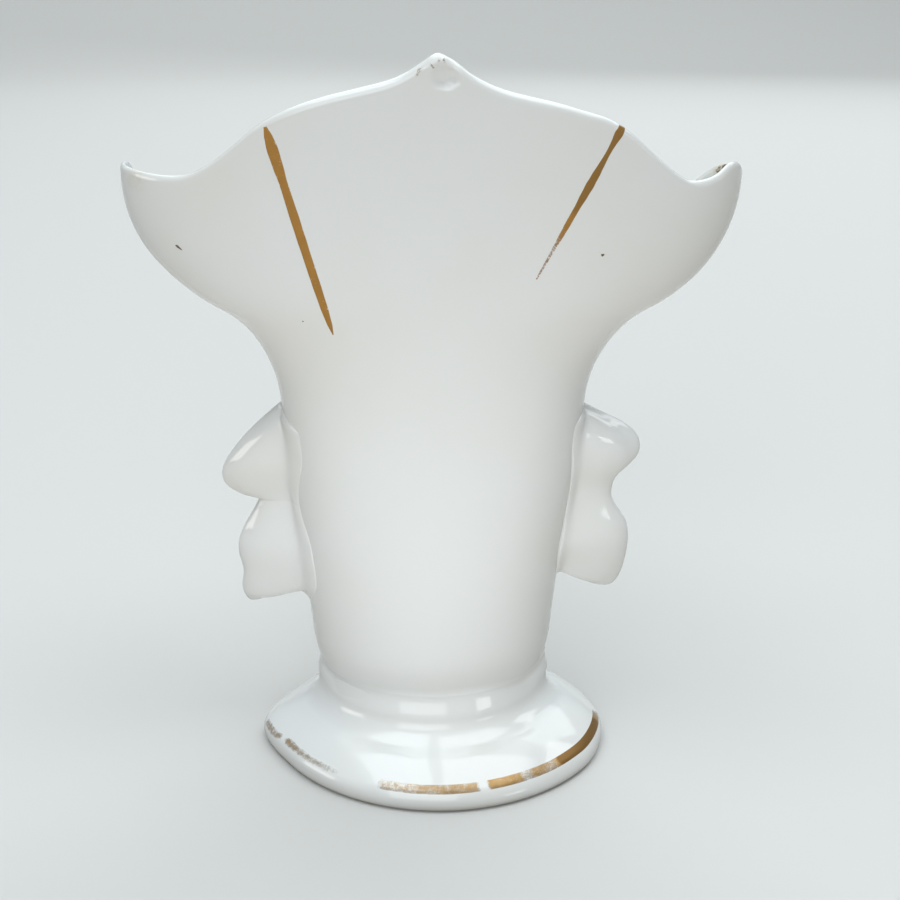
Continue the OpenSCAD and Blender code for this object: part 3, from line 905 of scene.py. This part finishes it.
@dataclass
class Foot:
    """Hollow flared foot whose plan is a pointed oval: two arcs that meet at rounded tips.

    Its outline is a straight collar, a cove, a domed slope and a rounded edge, all tangent.
    """

    half_w: float
    half_d: float
    height: float
    handwork: Handwork
    turn: float = math.radians(2.0)
    skew: float = 1.4
    neck_half: float = 24.8
    collar_h: float = 2.4
    cove_r: float = 8.0
    dome_r: float = 29.0
    edge_r: float = 4.2
    edge_z: float = 1.6
    wall_t: float = 3.8
    ledge_w: float = 7.0
    ledge_t: float = 4.0
    tip_share: float = 0.45
    tip_round: float = 0.07
    roll_in: float = 1.3
    roll_h: float = 5.0
    tip_rise: float = 2.4
    tip_out: float = 0.6
    skew_z: float = 14.0
    hollow: float = 0.6
    hollow_z: float = 12.6
    hollow_h: float = 2.4
    thin: float = 0.6
    thin_z: float = 8.0
    thin_h: float = 2.2
    thin_share: float = 0.5
    spread: float = 0.4
    spread_z: float = 8.0
    bare_z: float = 0.05
    steps: int = 400
    arc_steps: int = 26
    short_steps: int = 12

    def __post_init__(self) -> None:
        """Lens and arc centres, as in the frame: each circle of the plan is centred off the middle."""
        self.edge_plan = (self.half_w**2 + self.half_d**2) / (2 * self.half_d)
        self.off = self.edge_plan - self.half_d
        self.neck_plan = math.hypot(self.neck_half, self.off)
        cove = np.array([self.neck_plan + self.cove_r, self.height - self.collar_h])
        edge = np.array([self.edge_plan - self.edge_r, self.edge_z])
        far, near = self.cove_r + self.dome_r, self.dome_r - self.edge_r
        chord = edge - cove
        length = np.linalg.norm(chord)
        along = (length**2 + far**2 - near**2) / (2 * length)
        aside = math.sqrt(far**2 - along**2)
        self.dome = cove + (chord * along + np.array([chord[1], -chord[0]]) * aside) / length
        self.cove, self.edge = cove, edge
        self.dome_top = math.atan2(*(cove - self.dome)[::-1])
        self.dome_end = math.atan2(*(edge - self.dome)[::-1])

    @classmethod
    def from_frame(cls, handwork: Handwork) -> "Foot":
        """Foot whose width, depth and height are the frame's."""
        _, high = (np.array(corner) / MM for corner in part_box("foot"))
        return cls(half_w=high[0] / math.cos(cls.turn), half_d=high[1], height=high[2], handwork=handwork)

    def outline(self, inset: float = 0.0) -> np.ndarray:
        """Outline from the collar down to the widest place.

        Args:
            inset: How far it is drawn in.

        Returns:
            Radius and height of its points.
        """
        n = self.arc_steps
        return np.concatenate([
            arc(self.cove, self.cove_r + inset, math.pi, math.pi + self.dome_top, n),
            arc(self.dome, self.dome_r - inset, self.dome_top, self.dome_end, n)[1:],
            arc(self.edge, self.edge_r - inset, self.dome_end, 0.0, n)[1:],
        ])

    def broad(self, angle: np.ndarray) -> np.ndarray:
        """0 at the pointed tips, 1 on the broad sides."""
        return smooth(np.abs(np.sin(angle)) / self.tip_share)

    def joint_z(self, angle: np.ndarray) -> np.ndarray:
        """Height at which the collar ends on the body: higher at the tips."""
        return self.height + self.tip_rise * (1 - self.broad(angle))

    def plan(self, radius: np.ndarray, z: np.ndarray, angle: np.ndarray) -> np.ndarray:
        """Points of the foot.

        The distance from the middle is √(R² - c²·cos²) - c·|sin|, with the corner of |sin| rounded. The
        collar rolls in towards the joint, higher at the tips, the broad sides are hollow below it and spread
        at the edge, the left tip is thin, and both broad sides are skewed to the right, the more the lower.

        Args:
            radius: Radius of the plan's circles.
            z: Heights.
            angle: Angles about the middle.

        Returns:
            The points, on the grid of all three.
        """
        radius, z, angle = np.broadcast_arrays(radius, z, angle)
        broad = self.broad(angle)
        bend = np.sqrt(np.sin(angle) ** 2 + self.tip_round**2) - self.tip_round / 2
        r = np.sqrt(radius**2 - (self.off * np.cos(angle)) ** 2) - self.off * bend
        r = r - self.roll_in * (1 + broad) / 2 * smooth((z - self.joint_z(angle)) / self.roll_h + 1)
        r = r + self.tip_out * (1 - broad) * smooth((z - self.hollow_z) / self.roll_h)
        r = r - self.hollow * bell(z, self.hollow_z, self.hollow_h) * broad
        r = r + self.spread * np.sin(angle) ** 2 * (1 - smooth(z / self.spread_z))
        left_tip = bell(np.sin(angle), 0.0, self.thin_share) * np.clip(-np.cos(angle), 0, 1) ** 2
        r = r - self.thin * bell(z, self.thin_z, self.thin_h) * left_tip
        shift = self.skew * broad * (1 - smooth(z / self.skew_z))
        points = spots(r * np.cos(angle - self.turn) + shift, r * np.sin(angle - self.turn), z)
        swell = 1 + self.handwork.offset(points) / self.half_w * smooth(z / self.edge_r)
        return points * spots(swell, swell, 1.0)

    def build(self, shop: Workshop, glaze: Material, biscuit: Material) -> None:
        """The whole cut of the foot carried round its plan, with a bare ring where it stands.

        Args:
            shop: Where the piece is made.
            glaze: Its finish.
            biscuit: Finish of the standing ring.
        """
        ledge_plan, ledge_z = self.neck_plan - self.ledge_w, self.height - self.ledge_t
        inside = self.outline(self.wall_t)
        inside = inside[inside[:, 1] < ledge_z]
        under = (self.edge_plan - self.edge_z, self.edge_z)
        cut = np.concatenate([
            np.array([[ledge_plan, self.height]]),
            np.linspace([self.neck_plan, self.height], [self.neck_plan, self.cove[1]], self.short_steps)[:-1],
            self.outline(),
            arc(under, self.edge_z, 0.0, -math.pi / 2, self.short_steps)[1:],
            np.array([[self.edge_plan - self.wall_t, 0.0]]),
            inside[::-1],
            np.array([[inside[0, 0], ledge_z], [ledge_plan, ledge_z]]),
        ])
        angle = np.linspace(0, math.tau, self.steps, endpoint=False)
        points = self.plan(cut[:, :1], cut[:, 1:], angle)
        quads = grid_faces(*points.shape[:2], close_rows=True, close_columns=True)
        bare = (points.reshape(-1, 3)[quads][:, :, 2] < self.bare_z).all(1).astype(np.int32)
        shop.piece("foot_glazed", points, quads, [glaze, biscuit], Slot.PORCELAIN, ("foot",), finish_of=bare)


@dataclass
class Lug:
    """Two-lobed lug luted over a side seam: a round lobe that stands on a low band across the seam.

    Each key of its outline is a reach from the wall, a drop below the upper end, a heading out from straight
    down, and the drop of the section's root on the wall. A place that comes twice is a cleft. The band's half
    width and the lobe's half thickness are keyed by the root's drop.
    """

    side: Side
    body: Body
    top_z: float
    keys: Keys
    band: Keys
    lobe: Keys
    band_h: float = 0.8
    band_reach: float = 3.0
    band_power: int = 6
    cleft_share: float = 0.45
    end_ease: float = 4.0
    blend: float = 0.012
    soft_steps: int = 11
    sunk: float = 0.25
    sunk_power: int = 10
    key_steps: int = 22
    section_steps: int = 80

    def stations(self) -> tuple[np.ndarray, np.ndarray, np.ndarray]:
        """Outline of the lug: cubics through the keys.

        Returns:
            Reach, drop and root drop along it.
        """
        keys = np.array(self.keys, float)
        count = len(keys) - 1
        at = np.linspace(0, count, count * self.key_steps + 1)
        k = np.minimum(at.astype(int), count - 1)
        t = at - k
        p, q = keys[k], keys[k + 1]
        span = np.hypot(q[:, 0] - p[:, 0], q[:, 1] - p[:, 1])
        start, end = np.radians(p[:, 2]), np.radians(q[:, 2])
        reach = np.maximum(0, cubic(p[:, 0], np.sin(start), q[:, 0], np.sin(end), span, t))
        drop = cubic(p[:, 1], np.cos(start), q[:, 1], np.cos(end), span, t)
        return reach, drop, between(p[:, 3], q[:, 3], t)

    def build(self, shop: Workshop, glaze: Material, nodes: tuple[str, ...]) -> None:
        """Sections side by side down the wall, closed a little inside it.

        Across a section at a share a of the band, the lobe's height is its reach times √(1 - (a/l)²), eased
        into the wall, and the band's is its own height times √(1 - a⁶); the two are added as squares. On the
        lobe's flanks the reach and drop are averaged along the outline, so that a cleft dies out there.

        Args:
            shop: Where the piece is made.
            glaze: Its finish.
            nodes: Nodes of the frame that it stands for.
        """
        outline = self.stations()
        wide = 3 * self.soft_steps
        spread = bell(np.arange(-wide, wide + 1), 0, self.soft_steps)
        soft = [np.convolve(np.pad(row, wide, mode="edge"), spread / spread.sum(), "valid")
                for row in outline[:2]]
        reach, drop, root, soft_reach, soft_drop = (row[:, None] for row in (*outline, *soft))
        half = keyed(self.band, root)
        lobe_share = keyed(self.lobe, root) / half
        a = np.sin(np.linspace(-math.pi / 2, math.pi / 2, self.section_steps + 1))
        flank = smooth(np.abs(a) / lobe_share / self.cleft_share)
        flank = flank * smooth(root / self.end_ease) * smooth((root[-1] - root) / self.end_ease)
        reach, drop = between(reach, soft_reach, flank), between(drop, soft_drop, flank)
        core = 1 - (a / lobe_share) ** 2
        lobe = np.minimum(np.sqrt((core + np.sqrt(core**2 + self.blend)) / 2), 1.0)
        band = self.band_h * smooth(reach / self.band_reach)
        band = band * np.sqrt(np.clip(1 - a**self.band_power, 0, 1))
        height = np.hypot(reach * lobe, band) - self.sunk * np.abs(a) ** self.sunk_power
        y = half * a
        z = self.top_z - root - (drop - root) * lobe
        skin = spots(self.body.side_x(self.side, y, z) + height, y, z)
        low = self.top_z - root
        seat = spots(self.body.side_x(self.side, y, low) - self.sunk, y, low)[:, ::-1]
        loops = np.concatenate([skin, seat], axis=1)
        loops[..., 0] *= self.side.value
        shop.piece(f"{self.side.name.lower()}_lug_glazed", loops, loft_faces(*loops.shape[:2]), [glaze],
                   Slot.PORCELAIN, nodes)


@dataclass
class Stroke:
    """Gilt brush stroke down one wall from the rim, whose widths are keyed by the share of its length."""

    name: str
    node: str
    wall: Wall
    body: Body
    x_top: float
    lean: float
    length: float
    widths: Keys
    gap: float = 1.6
    cover: float = 0.95
    film: float = 0.015
    sunk: float = 0.1
    worn_edge: float = 0.2
    worn_tail: float = 0.0
    tail_from: float = 0.4
    tail_over: float = 0.45
    wander: float = 0.05
    wander_turns: int = 3
    wander_waves: int = 6
    seed: int = 1
    steps: int = 220
    across: int = 14

    def build(self, shop: Workshop, gilt: Material) -> None:
        """A strip along the stroke whose edges wander, raised off the glaze in the middle and closed below.

        Args:
            shop: Where the piece is made.
            gilt: Its finish.
        """
        rng = np.random.default_rng(self.seed)
        t = np.linspace(0, 1, self.steps)[:, None]
        inward = -math.copysign(1.0, self.x_top)
        wander = np.zeros_like(t)
        for n in range(1, self.wander_waves + 1):
            size, start = rng.normal(0, self.wander / n), rng.random()
            wander = wander + size * np.sin(math.tau * (self.wander_turns * n * t + start))
        e = np.linspace(-1, 1, self.across)[None, :]
        width = keyed(self.widths, t) / 2 * (1 + wander)
        tilt = math.radians(self.lean)
        z_top = self.body.rim(self.wall, np.array(self.x_top)) - self.gap
        x = self.x_top + inward * self.length * t * math.sin(tilt) + e * width * math.cos(tilt)
        z = z_top - self.length * t * math.cos(tilt) + e * width * inward * math.sin(tilt)
        share = x / self.body.outline(z)
        crown = self.film * (1 - e**2) ** 2 - self.body.lip_fall(self.wall, x, z)
        top = self.body.skin(self.wall, share, z, lift=PROUD + crown)
        low = self.body.skin(self.wall, share, z, lift=crown - self.sunk)
        loops = np.concatenate([top, low[:, ::-1]], axis=1)
        worn = self.worn_edge * e**4 + self.worn_tail * smooth((t - self.tail_from) / self.tail_over)
        cover = np.concatenate([self.cover - worn, self.cover - worn[:, ::-1]], axis=1)
        quads = loft_faces(*loops.shape[:2])
        below = (quads % (2 * self.across) >= self.across).any(1)
        shop.piece(self.name, loops, quads, [gilt], Slot.GILDING, (self.node,), {"cover": cover}, flat=below)


@dataclass
class FootLine:
    """Gilt line round the foot, just above its rounded edge, worn by handling."""

    foot: Foot
    width: float = 2.6
    below: float = 1.1
    film: float = 0.045
    sunk: float = 0.02
    root: float = 0.1
    bare_cover: float = 0.4
    worn_edge: float = 0.25
    steps: int = 900
    across: int = 14
    covers: Keys = ((0, 0.6), (4, 0.1), (40, 0.1), (60, 0.6), (120, 0.6), (165, 0.1), (182, 0.1), (184, 0.6),
                    (195, 0.65), (198, 0.1), (201, 0.75), (212, 0.6), (224, 0.45), (234, 0.05), (246, 0.0),
                    (249, 0.62), (278, 0.78), (285.5, 0.8), (287.5, 0.08), (289.5, 0.08), (291.5, 0.95),
                    (303, 0.95), (307, 0.5), (311, 0.85), (320, 0.7), (324, 1.25), (354, 1.25), (360, 0.6))
    slims: Keys = ((0, 0), (165, 0.3), (186, 0.7), (201, 1.0), (224, 1.1), (244, 0.9), (250, 0.1), (360, 0))
    sags: Keys = ((0, 0), (160, 0), (180, 1.4), (190, 1.1), (201, 0), (360, 0))

    def build(self, shop: Workshop, gilt: Material) -> None:
        """A strip from the rounded edge up on to the dome, carried round the plan, with cover set along it.

        Its edges, and the whole strip where the gold is gone, sink under the glaze.

        Args:
            shop: Where the piece is made.
            gilt: Its finish.
        """
        angle = np.linspace(0, math.tau, self.steps, endpoint=False)
        along, slim, sag = (eased(keys, np.degrees(angle)) for keys in (self.covers, self.slims, self.sags))
        e = np.linspace(-1, 1, self.across)[:, None]
        crown = self.film * (1 - e**2) * smooth(along / self.bare_cover) - self.sunk
        lift = np.concatenate([crown, np.full_like(crown, -self.root)])
        edge = np.concatenate([e, e[::-1]])
        up = (edge + 1) / 2 * self.width - self.below - sag
        radius = np.where(up > 0, self.foot.dome_r, self.foot.edge_r)
        centre = np.where(up[..., None] > 0, self.foot.dome, self.foot.edge)
        turn = self.foot.dome_end + up / radius
        points = self.foot.plan(centre[..., 0] + (radius + lift) * np.cos(turn),
                                centre[..., 1] + (radius + lift) * np.sin(turn), angle)
        cover = along - self.worn_edge * edge**4 - slim * edge**2
        quads = grid_faces(*points.shape[:2], close_rows=True, close_columns=True)
        below = (quads // self.steps >= self.across).any(1)
        shop.piece("foot_gilt_line_worn", points, quads, [gilt], Slot.GILDING, ("foot_gilt_line",),
                   {"cover": cover}, flat=below)


@dataclass
class Mark:
    """Small mark on the rear wall: a fleck of iron in the glaze, or a trace of worn gilding."""

    name: str
    body: Body
    x: float
    z: float
    length: float
    width: float
    tilt: float = 0.0
    cover: float = 1.0
    film: float = 0.02
    sunk: float = 0.08
    worn_edge: float = 0.7
    rags: tuple[float, float] = (0.14, 0.09)
    rag_turns: tuple[int, int] = (3, 7)
    rings: int = 7
    steps: int = 36

    def build(self, shop: Workshop, material: Material, slot: Slot) -> None:
        """A ragged oval film: rings out from its middle over the top, and back below the glaze.

        Args:
            shop: Where the piece is made.
            material: Its finish.
            slot: Material slot of the record that it belongs to.
        """
        rho = np.linspace(0, 1, self.rings)[:, None]
        phi = np.linspace(0, math.tau, self.steps, endpoint=False)
        waves = (rag * np.sin(turns * phi + start)
                 for rag, turns, start in zip(self.rags, self.rag_turns, (self.x, self.z)))
        ragged = 1 + sum(waves)
        u = rho * ragged * np.cos(phi) * self.length / 2
        v = rho * ragged * np.sin(phi) * self.width / 2
        c, s = math.cos(math.radians(self.tilt)), math.sin(math.radians(self.tilt))
        x, z = self.x + u * c - v * s, self.z + u * s + v * c
        share = x / self.body.outline(z)
        fall = self.body.lip_fall(Wall.REAR, x, z)
        top = self.body.skin(Wall.REAR, share, z, lift=PROUD + self.film * (1 - rho**2) ** 2 - fall)
        low = self.body.skin(Wall.REAR, share, z, lift=-self.sunk - fall)
        points = np.concatenate([top, low[::-1]])
        cover = self.cover - self.worn_edge * np.concatenate([rho, rho[::-1]]) ** 2 + 0 * phi
        quads = grid_faces(2 * self.rings, self.steps, close_columns=True)
        below = (quads // self.steps >= self.rings).any(1)
        shop.piece(self.name, points, quads, [material], slot, marks={"cover": cover}, flat=below)


@dataclass
class Joint:
    """Glaze that has filled the crease between the body and the foot, over the slip that joins them."""

    body: Body
    foot: Foot
    low_z: float = 14.4
    high_z: float = 27.0
    blend: float = 1.0
    fall: float = 0.5
    sunk: float = 0.03
    edge: float = 2.2
    core: tuple[float, float, float] = (0.93, 0.92, 1.0)
    steps: int = 560
    across: int = 84

    def build(self, shop: Workshop, glaze: Material) -> None:
        """A band round the crease whose distance from the middle is the larger of the body's and the foot's.

        Past their joint both fall away. Where they differ by less than the blend, a share h of it, the larger
        one grows by blend·h²/4, so that the band is hollow there. Elsewhere it lies on both surfaces, and its
        edges sink into them.

        Args:
            shop: Where the piece is made.
            glaze: Its finish.
        """
        u = np.linspace(0, math.tau, self.steps, endpoint=False)[:, None]
        z = np.linspace(self.high_z, self.low_z, self.across)[None, :]
        share = oval(np.cos(u), self.body.power(self.body.base_z))
        rear, front = (self.body.skin(wall, share, z) for wall in (Wall.REAR, Wall.FRONT))
        skin = np.where((np.sin(u) < 0)[..., None], rear, front)
        angle = np.arctan2(skin[..., 1], skin[..., 0])
        neck = np.interp(z, *self.foot.outline()[::-1].T[::-1])
        foot = np.linalg.norm(self.foot.plan(neck, z, angle + self.foot.turn)[..., :2], axis=-1)
        foot = foot - self.fall * np.maximum(z - self.foot.joint_z(angle + self.foot.turn), 0)
        body = np.linalg.norm(skin[..., :2], axis=-1) - self.fall * np.maximum(self.body.base_z - z, 0)
        near = np.clip(1 - np.abs(body - foot) / self.blend, 0, 1)
        inner = smooth((self.high_z - z) / self.edge) * smooth((z - self.low_z) / self.edge)
        out = np.maximum(body, foot) + self.blend / 4 * near**2 + PROUD - self.sunk * (1 - inner)
        band = spots(out * np.cos(angle), out * np.sin(angle), z)
        core = band[:, self.across // 2, None] * np.array(self.core)
        loops = np.concatenate([band, core], axis=1)
        quads = grid_faces(*loops.shape[:2], close_rows=True, close_columns=True)
        hidden = (quads % (self.across + 1) == self.across).any(1)
        shop.piece("foot_joint_glazed", loops, quads, [glaze], Slot.SLIP, ("foot_slip",), flat=hidden)


# Colours of the lamps' light
COOL = (0.91, 0.97, 1.0)
DAYLIGHT = (0.95, 0.98, 1.0)
WARM = (1.0, 0.97, 0.92)


@dataclass(frozen=True)
class Softbox:
    """Rectangular studio lamp with an even face, which can be kept out of the gloss or be seen only there."""

    name: str
    place: tuple[float, float, float]
    aim: tuple[float, float, float]
    size: tuple[float, float]
    power: float
    colour: Colour = (1.0, 1.0, 1.0)
    mirrored: bool = True
    shines: bool = True

    def light(self) -> None:
        """Hang the lamp, in metres, turned to its aim."""
        lamp = bpy.data.lights.new(self.name, "AREA")
        lamp.shape = "RECTANGLE"
        lamp.size, lamp.size_y = self.size
        lamp.energy = self.power
        lamp.color = self.colour
        holder = placed(self.name, lamp)
        holder.location = self.place
        holder.visible_glossy = self.mirrored
        holder.visible_diffuse = self.shines
        holder.rotation_euler = (Vector(self.aim) - Vector(self.place)).to_track_quat("-Z", "Y").to_euler()


@dataclass
class Studio:
    """Pale floor that curves up into a backdrop, soft lamps, and a camera where the photograph was taken."""

    camera_out: float = 0.3
    camera_up: float = 0.18
    camera_turn: float = math.radians(-1.5)
    camera_pitch: float = math.radians(20.567)
    focal_px: float = 1536.6
    axis_px: float = 432.5
    pale_floor: Colour = (0.6, 0.6, 0.585)
    floor_bounce: Colour = (0.19, 0.16, 0.12)
    sky: Colour = (0.9, 0.95, 1.0)
    sky_strength: float = 0.1
    pale_strength: float = 0.6
    sweep_half: float = 1.4
    sweep_front: float = -1.3
    sweep_back: float = 1.2
    sweep_bend: float = 0.6
    sweep_top: float = 2.0
    sweep_columns: int = 9
    bend_steps: int = 24
    paper_rough: float = 0.9
    paper_gloss: float = 0.2
    nearest: float = 0.01
    lamps: tuple[Softbox, ...] = (
        Softbox("overhead_left", (-0.5, -0.42, 1.6), (-0.5, -0.42, 0.0), (0.85, 1.05), 7.4, COOL),
        Softbox("overhead_right", (0.68, -0.3, 1.6), (0.68, -0.3, 0.0), (1.2, 0.8), 7.6, COOL),
        Softbox("ceiling", (0.0, 0.0, 2.2), (0.0, 0.0, 0.0), (3.0, 3.0), 29.0, COOL),
        Softbox("overhead_back", (0.3, 1.0, 1.2), (0.0, 0.0, 0.0), (2.2, 0.8), 12.0, COOL),
        Softbox("front_window", (-0.35, -1.9, 0.85), (0.0, 0.0, 0.1), (1.7, 1.5), 19.4, DAYLIGHT),
        Softbox("window_left", (-1.3, -0.22, 0.3), (0.0, 0.0, 0.07), (0.6, 0.44), 3.2, WARM, shines=False),
        Softbox("window_low", (0.95, -0.88, 0.1), (0.0, 0.0, 0.06), (0.34, 0.18), 0.8, DAYLIGHT,
                shines=False),
        Softbox("window_right", (1.0, 0.2, 0.85), (0.0, 0.0, 0.07), (0.4, 0.3), 1.3, DAYLIGHT, shines=False),
        Softbox("back_fill", (0.25, 1.1, 0.42), (0.0, 0.0, 0.08), (1.2, 0.5), 1.4, DAYLIGHT, mirrored=False),
        Softbox("bounce_card", (0.0, -0.1, 0.004), (0.0, -0.1, 1.0), (0.26, 0.07), 0.14, mirrored=False),
    )

    def stage(self) -> None:
        """A sheet whose cut is a level floor, a quarter round and an upright wall."""
        centre = (self.sweep_back, self.sweep_bend)
        bend = arc(centre, self.sweep_bend, -math.pi / 2, 0.0, self.bend_steps - 1)
        floor = np.array([[self.sweep_front, 0.0]])
        upright = np.array([[self.sweep_back + self.sweep_bend, self.sweep_top]])
        cut = np.concatenate([floor, bend, upright])
        x = np.linspace(-self.sweep_half, self.sweep_half, self.sweep_columns)
        points = spots(x[None, :], cut[:, :1], cut[:, 1:]).reshape(-1, 3)
        mesh = bpy.data.meshes.new("pale_sweep")
        mesh.from_pydata(points.tolist(), [], grid_faces(len(cut), len(x))[:, ::-1].tolist())
        mesh.polygons.foreach_set("use_smooth", np.ones(len(mesh.polygons), bool))
        paper = Shader("pale_paper")
        colour = paper.mix(seen(paper.tree), self.floor_bounce, self.pale_floor)
        paper.set(Base_Color=colour, Roughness=self.paper_rough, Specular_IOR_Level=self.paper_gloss)
        mesh.materials.append(paper.material)
        sweep = placed("pale_sweep", mesh)

    def light(self) -> None:
        """A dim even sky that looks pale to the camera, and the soft lamps."""
        world = bpy.data.worlds.new("studio_sky")
        world.use_nodes = True
        tree = world.node_tree
        dim, pale = tree.nodes["Background"], tree.nodes.new("ShaderNodeBackground")
        for sky, strength in ((dim, self.sky_strength), (pale, self.pale_strength)):
            sky.inputs["Color"].default_value = (*self.sky, 1.0)
            sky.inputs["Strength"].default_value = strength
        choose = tree.nodes.new("ShaderNodeMixShader")
        tree.links.new(seen(tree), choose.inputs[0])
        tree.links.new(dim.outputs[0], choose.inputs[1])
        tree.links.new(pale.outputs[0], choose.inputs[2])
        tree.links.new(choose.outputs[0], tree.nodes["World Output"].inputs["Surface"])
        bpy.context.scene.world = world
        for lamp in self.lamps:
            lamp.light()

    def camera(self) -> None:
        """Camera that looks down on the photographed side, with the vase's axis left of the middle."""
        lens = bpy.data.cameras.new("photo_camera")
        lens.sensor_width = SENSOR_MM
        lens.lens = self.focal_px / IMAGE_PX * SENSOR_MM
        lens.shift_x = (IMAGE_PX / 2 - self.axis_px) / IMAGE_PX
        lens.clip_start = self.nearest
        holder = placed("photo_camera", lens)
        holder.location = (self.camera_out * math.sin(self.camera_turn),
                           -self.camera_out * math.cos(self.camera_turn), self.camera_up)
        holder.rotation_euler = (math.pi / 2 - self.camera_pitch, 0.0, self.camera_turn)
        bpy.context.scene.camera = holder

    def build(self) -> None:
        """Set the stage, the lamps, the camera and a plain view transform."""
        self.stage()
        self.light()
        self.camera()
        bpy.context.scene.view_settings.view_transform = "Standard"


def lugs(body: Body, top_z: float) -> list[Lug]:
    """The two lugs, whose outlines differ.

    Args:
        body: The body that carries them.
        top_z: Height of their upper ends.

    Returns:
        The left and the right lug.
    """
    left = ((0.6, -0.4, 52, 0), (10.8, 8.8, 40, 9), (14.5, 15.6, 0, 15), (7.5, 20.4, -86, 19.6),
            (7.5, 20.4, 28, 20), (13.6, 32.6, 0, 31), (13.2, 36.4, 0, 34.6), (14.0, 41, 0, 37.4),
            (12.2, 44.2, -90, 39.4), (4.3, 40.4, -108, 41), (0, 44, -15, 43))
    left_band = ((0, 3.5, 4), (3, 10.2, 0), (10, 9.6, -0.3), (19.5, 6.4, 0), (29, 8.4, 0), (37, 8, -0.2),
                 (43, 3.4, -1))
    left_lobe = ((0, 2.2, 1), (10, 5.6, 0), (20.2, 3.2, 0), (31, 5, 0), (38, 4, -0.2), (43, 2.4, 0))
    right = ((0, 0.2, 63, 0), (13.2, 10.2, 0, 10), (9.5, 15.7, -42, 15.5), (8.7, 19.4, 0, 19.4),
             (12.3, 25.4, 36, 25), (14.3, 33, 0, 31), (11, 41.6, -90, 35.2), (0, 37, -112, 37.4))
    right_band = ((0, 3.5, 3), (3, 8.4, 0), (10, 7.2, -0.3), (19, 5.2, 0), (30, 5.8, 0), (37.4, 3.4, -0.4))
    right_lobe = ((0, 2.2, 1), (9, 5.6, 0), (18.6, 3.6, 0), (29, 4.8, 0), (37.4, 2.6, 0))
    return [Lug(Side.LEFT, body, top_z, left, left_band, left_lobe),
            Lug(Side.RIGHT, body, top_z, right, right_band, right_lobe)]


def strokes(body: Body) -> list[Stroke]:
    """A stroke on each side of each wall: the left one full to its tip, the right one slim and worn below.

    Args:
        body: The body that carries them.

    Returns:
        The four strokes.
    """
    full = ((0, 0.6, 14), (0.05, 1.6, 8), (0.12, 2.1, 0), (0.28, 1.6, 0), (0.45, 1.7, 0), (0.82, 1.5, -1),
            (0.94, 1.05, -6), (1, 0.2, -14))
    slim = ((0, 1.2, 5), (0.05, 1.5, 0), (0.14, 1.05, 0), (0.42, 1.5, 0), (0.6, 1.05, -2), (0.8, 0.7, -1),
            (1, 0.3, -2))
    found = []
    for wall in Wall:
        for side, x_top, lean, length, widths, gap, cover, tail in (
                (Side.LEFT, -30.7, 15.9, 41.0, full, 1.5, 0.95, 0.0),
                (Side.RIGHT, 34.1, 28.2, 32.0, slim, 0.5, 1.3, 0.7)):
            node = f"{wall.name.lower()}_{side.name.lower()}_stroke"
            found.append(Stroke(f"{node}_gilt", node, wall, body, x_top, lean, length, widths, gap, cover,
                                worn_tail=tail, seed=3 + side.value + wall.value))
    return found


def flecks(body: Body) -> list[Mark]:
    """Iron flecks in the glaze of the rear wall.

    Args:
        body: The body that carries them.

    Returns:
        The flecks.
    """
    return [Mark("iron_fleck_left", body, -48.6, 113.6, 1.5, 0.45, -38.0),
            Mark("iron_dot_right", body, 31.5, 112.9, 0.65, 0.5),
            Mark("iron_dot_low", body, -25.3, 100.3, 0.3, 0.26)]


def traces(body: Body) -> list[Mark]:
    """Traces of gilding that are left at the peak.

    Args:
        body: The body that carries them.

    Returns:
        The traces.
    """
    return [Mark("peak_trace_low", body, -3.05, 147.3, 2.2, 0.75, 59.0, 0.62),
            Mark("peak_trace_left", body, -0.6, 148.2, 1.6, 0.55, -50.0, 0.56),
            Mark("peak_trace_mid", body, 0.5, 149.2, 0.7, 0.55, 0.0, 0.5),
            Mark("peak_trace_right", body, 1.4, 149.3, 0.9, 0.6, 80.0, 0.58)]


def main() -> None:
    """Build the vase piece by piece, then the studio, and log how many pieces there are."""
    logging.basicConfig(level=logging.INFO, format="%(name)s %(message)s")
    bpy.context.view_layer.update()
    shop = Workshop()
    glaze_finish = Glaze()
    glaze = glaze_finish.material()
    biscuit = Biscuit().material()
    stroke_finish = Gilt("brushed_gilt", gold=(0.4, 0.2, 0.045), deep=(0.27, 0.145, 0.04),
                         faded=(0.3, 0.2, 0.15), metal=0.35, roughness=0.4)
    line_finish = Gilt("worn_gilt", gold=(0.36, 0.22, 0.085), deep=(0.19, 0.1, 0.026),
                       faded=(0.26, 0.19, 0.11), metal=0.4, roughness=0.3, grain_scale=5200.0, softness=0.42)
    stroke_gilt, line_gilt = (finish.material(glaze_finish) for finish in (stroke_finish, line_finish))
    iron = Fleck().material()
    body = Body.from_frame(Handwork())
    foot = Foot.from_frame(Handwork(depth=0.14, longest=50.0, shortest=9.0, seed=5))
    body.build(shop, glaze)
    Bat(body).build(shop, glaze)
    foot.build(shop, glaze, biscuit)
    Joint(body, foot).build(shop, glaze)
    lug_top = max(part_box("left_lug")[1].z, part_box("right_lug")[1].z) / MM
    for lug in lugs(body, lug_top):
        name = f"{lug.side.name.lower()}_lug"
        lug.build(shop, glaze, (name, f"{name}_slip"))
    for stroke in strokes(body):
        stroke.build(shop, stroke_gilt)
    FootLine(foot).build(shop, line_gilt)
    for fleck in flecks(body):
        fleck.build(shop, iron, Slot.PORCELAIN)
    for trace in traces(body):
        trace.build(shop, line_gilt, Slot.GILDING)
    Studio().build()
    LOG.info("%d pieces in all", len(shop.finished))


if __name__ == "__main__":
    main()
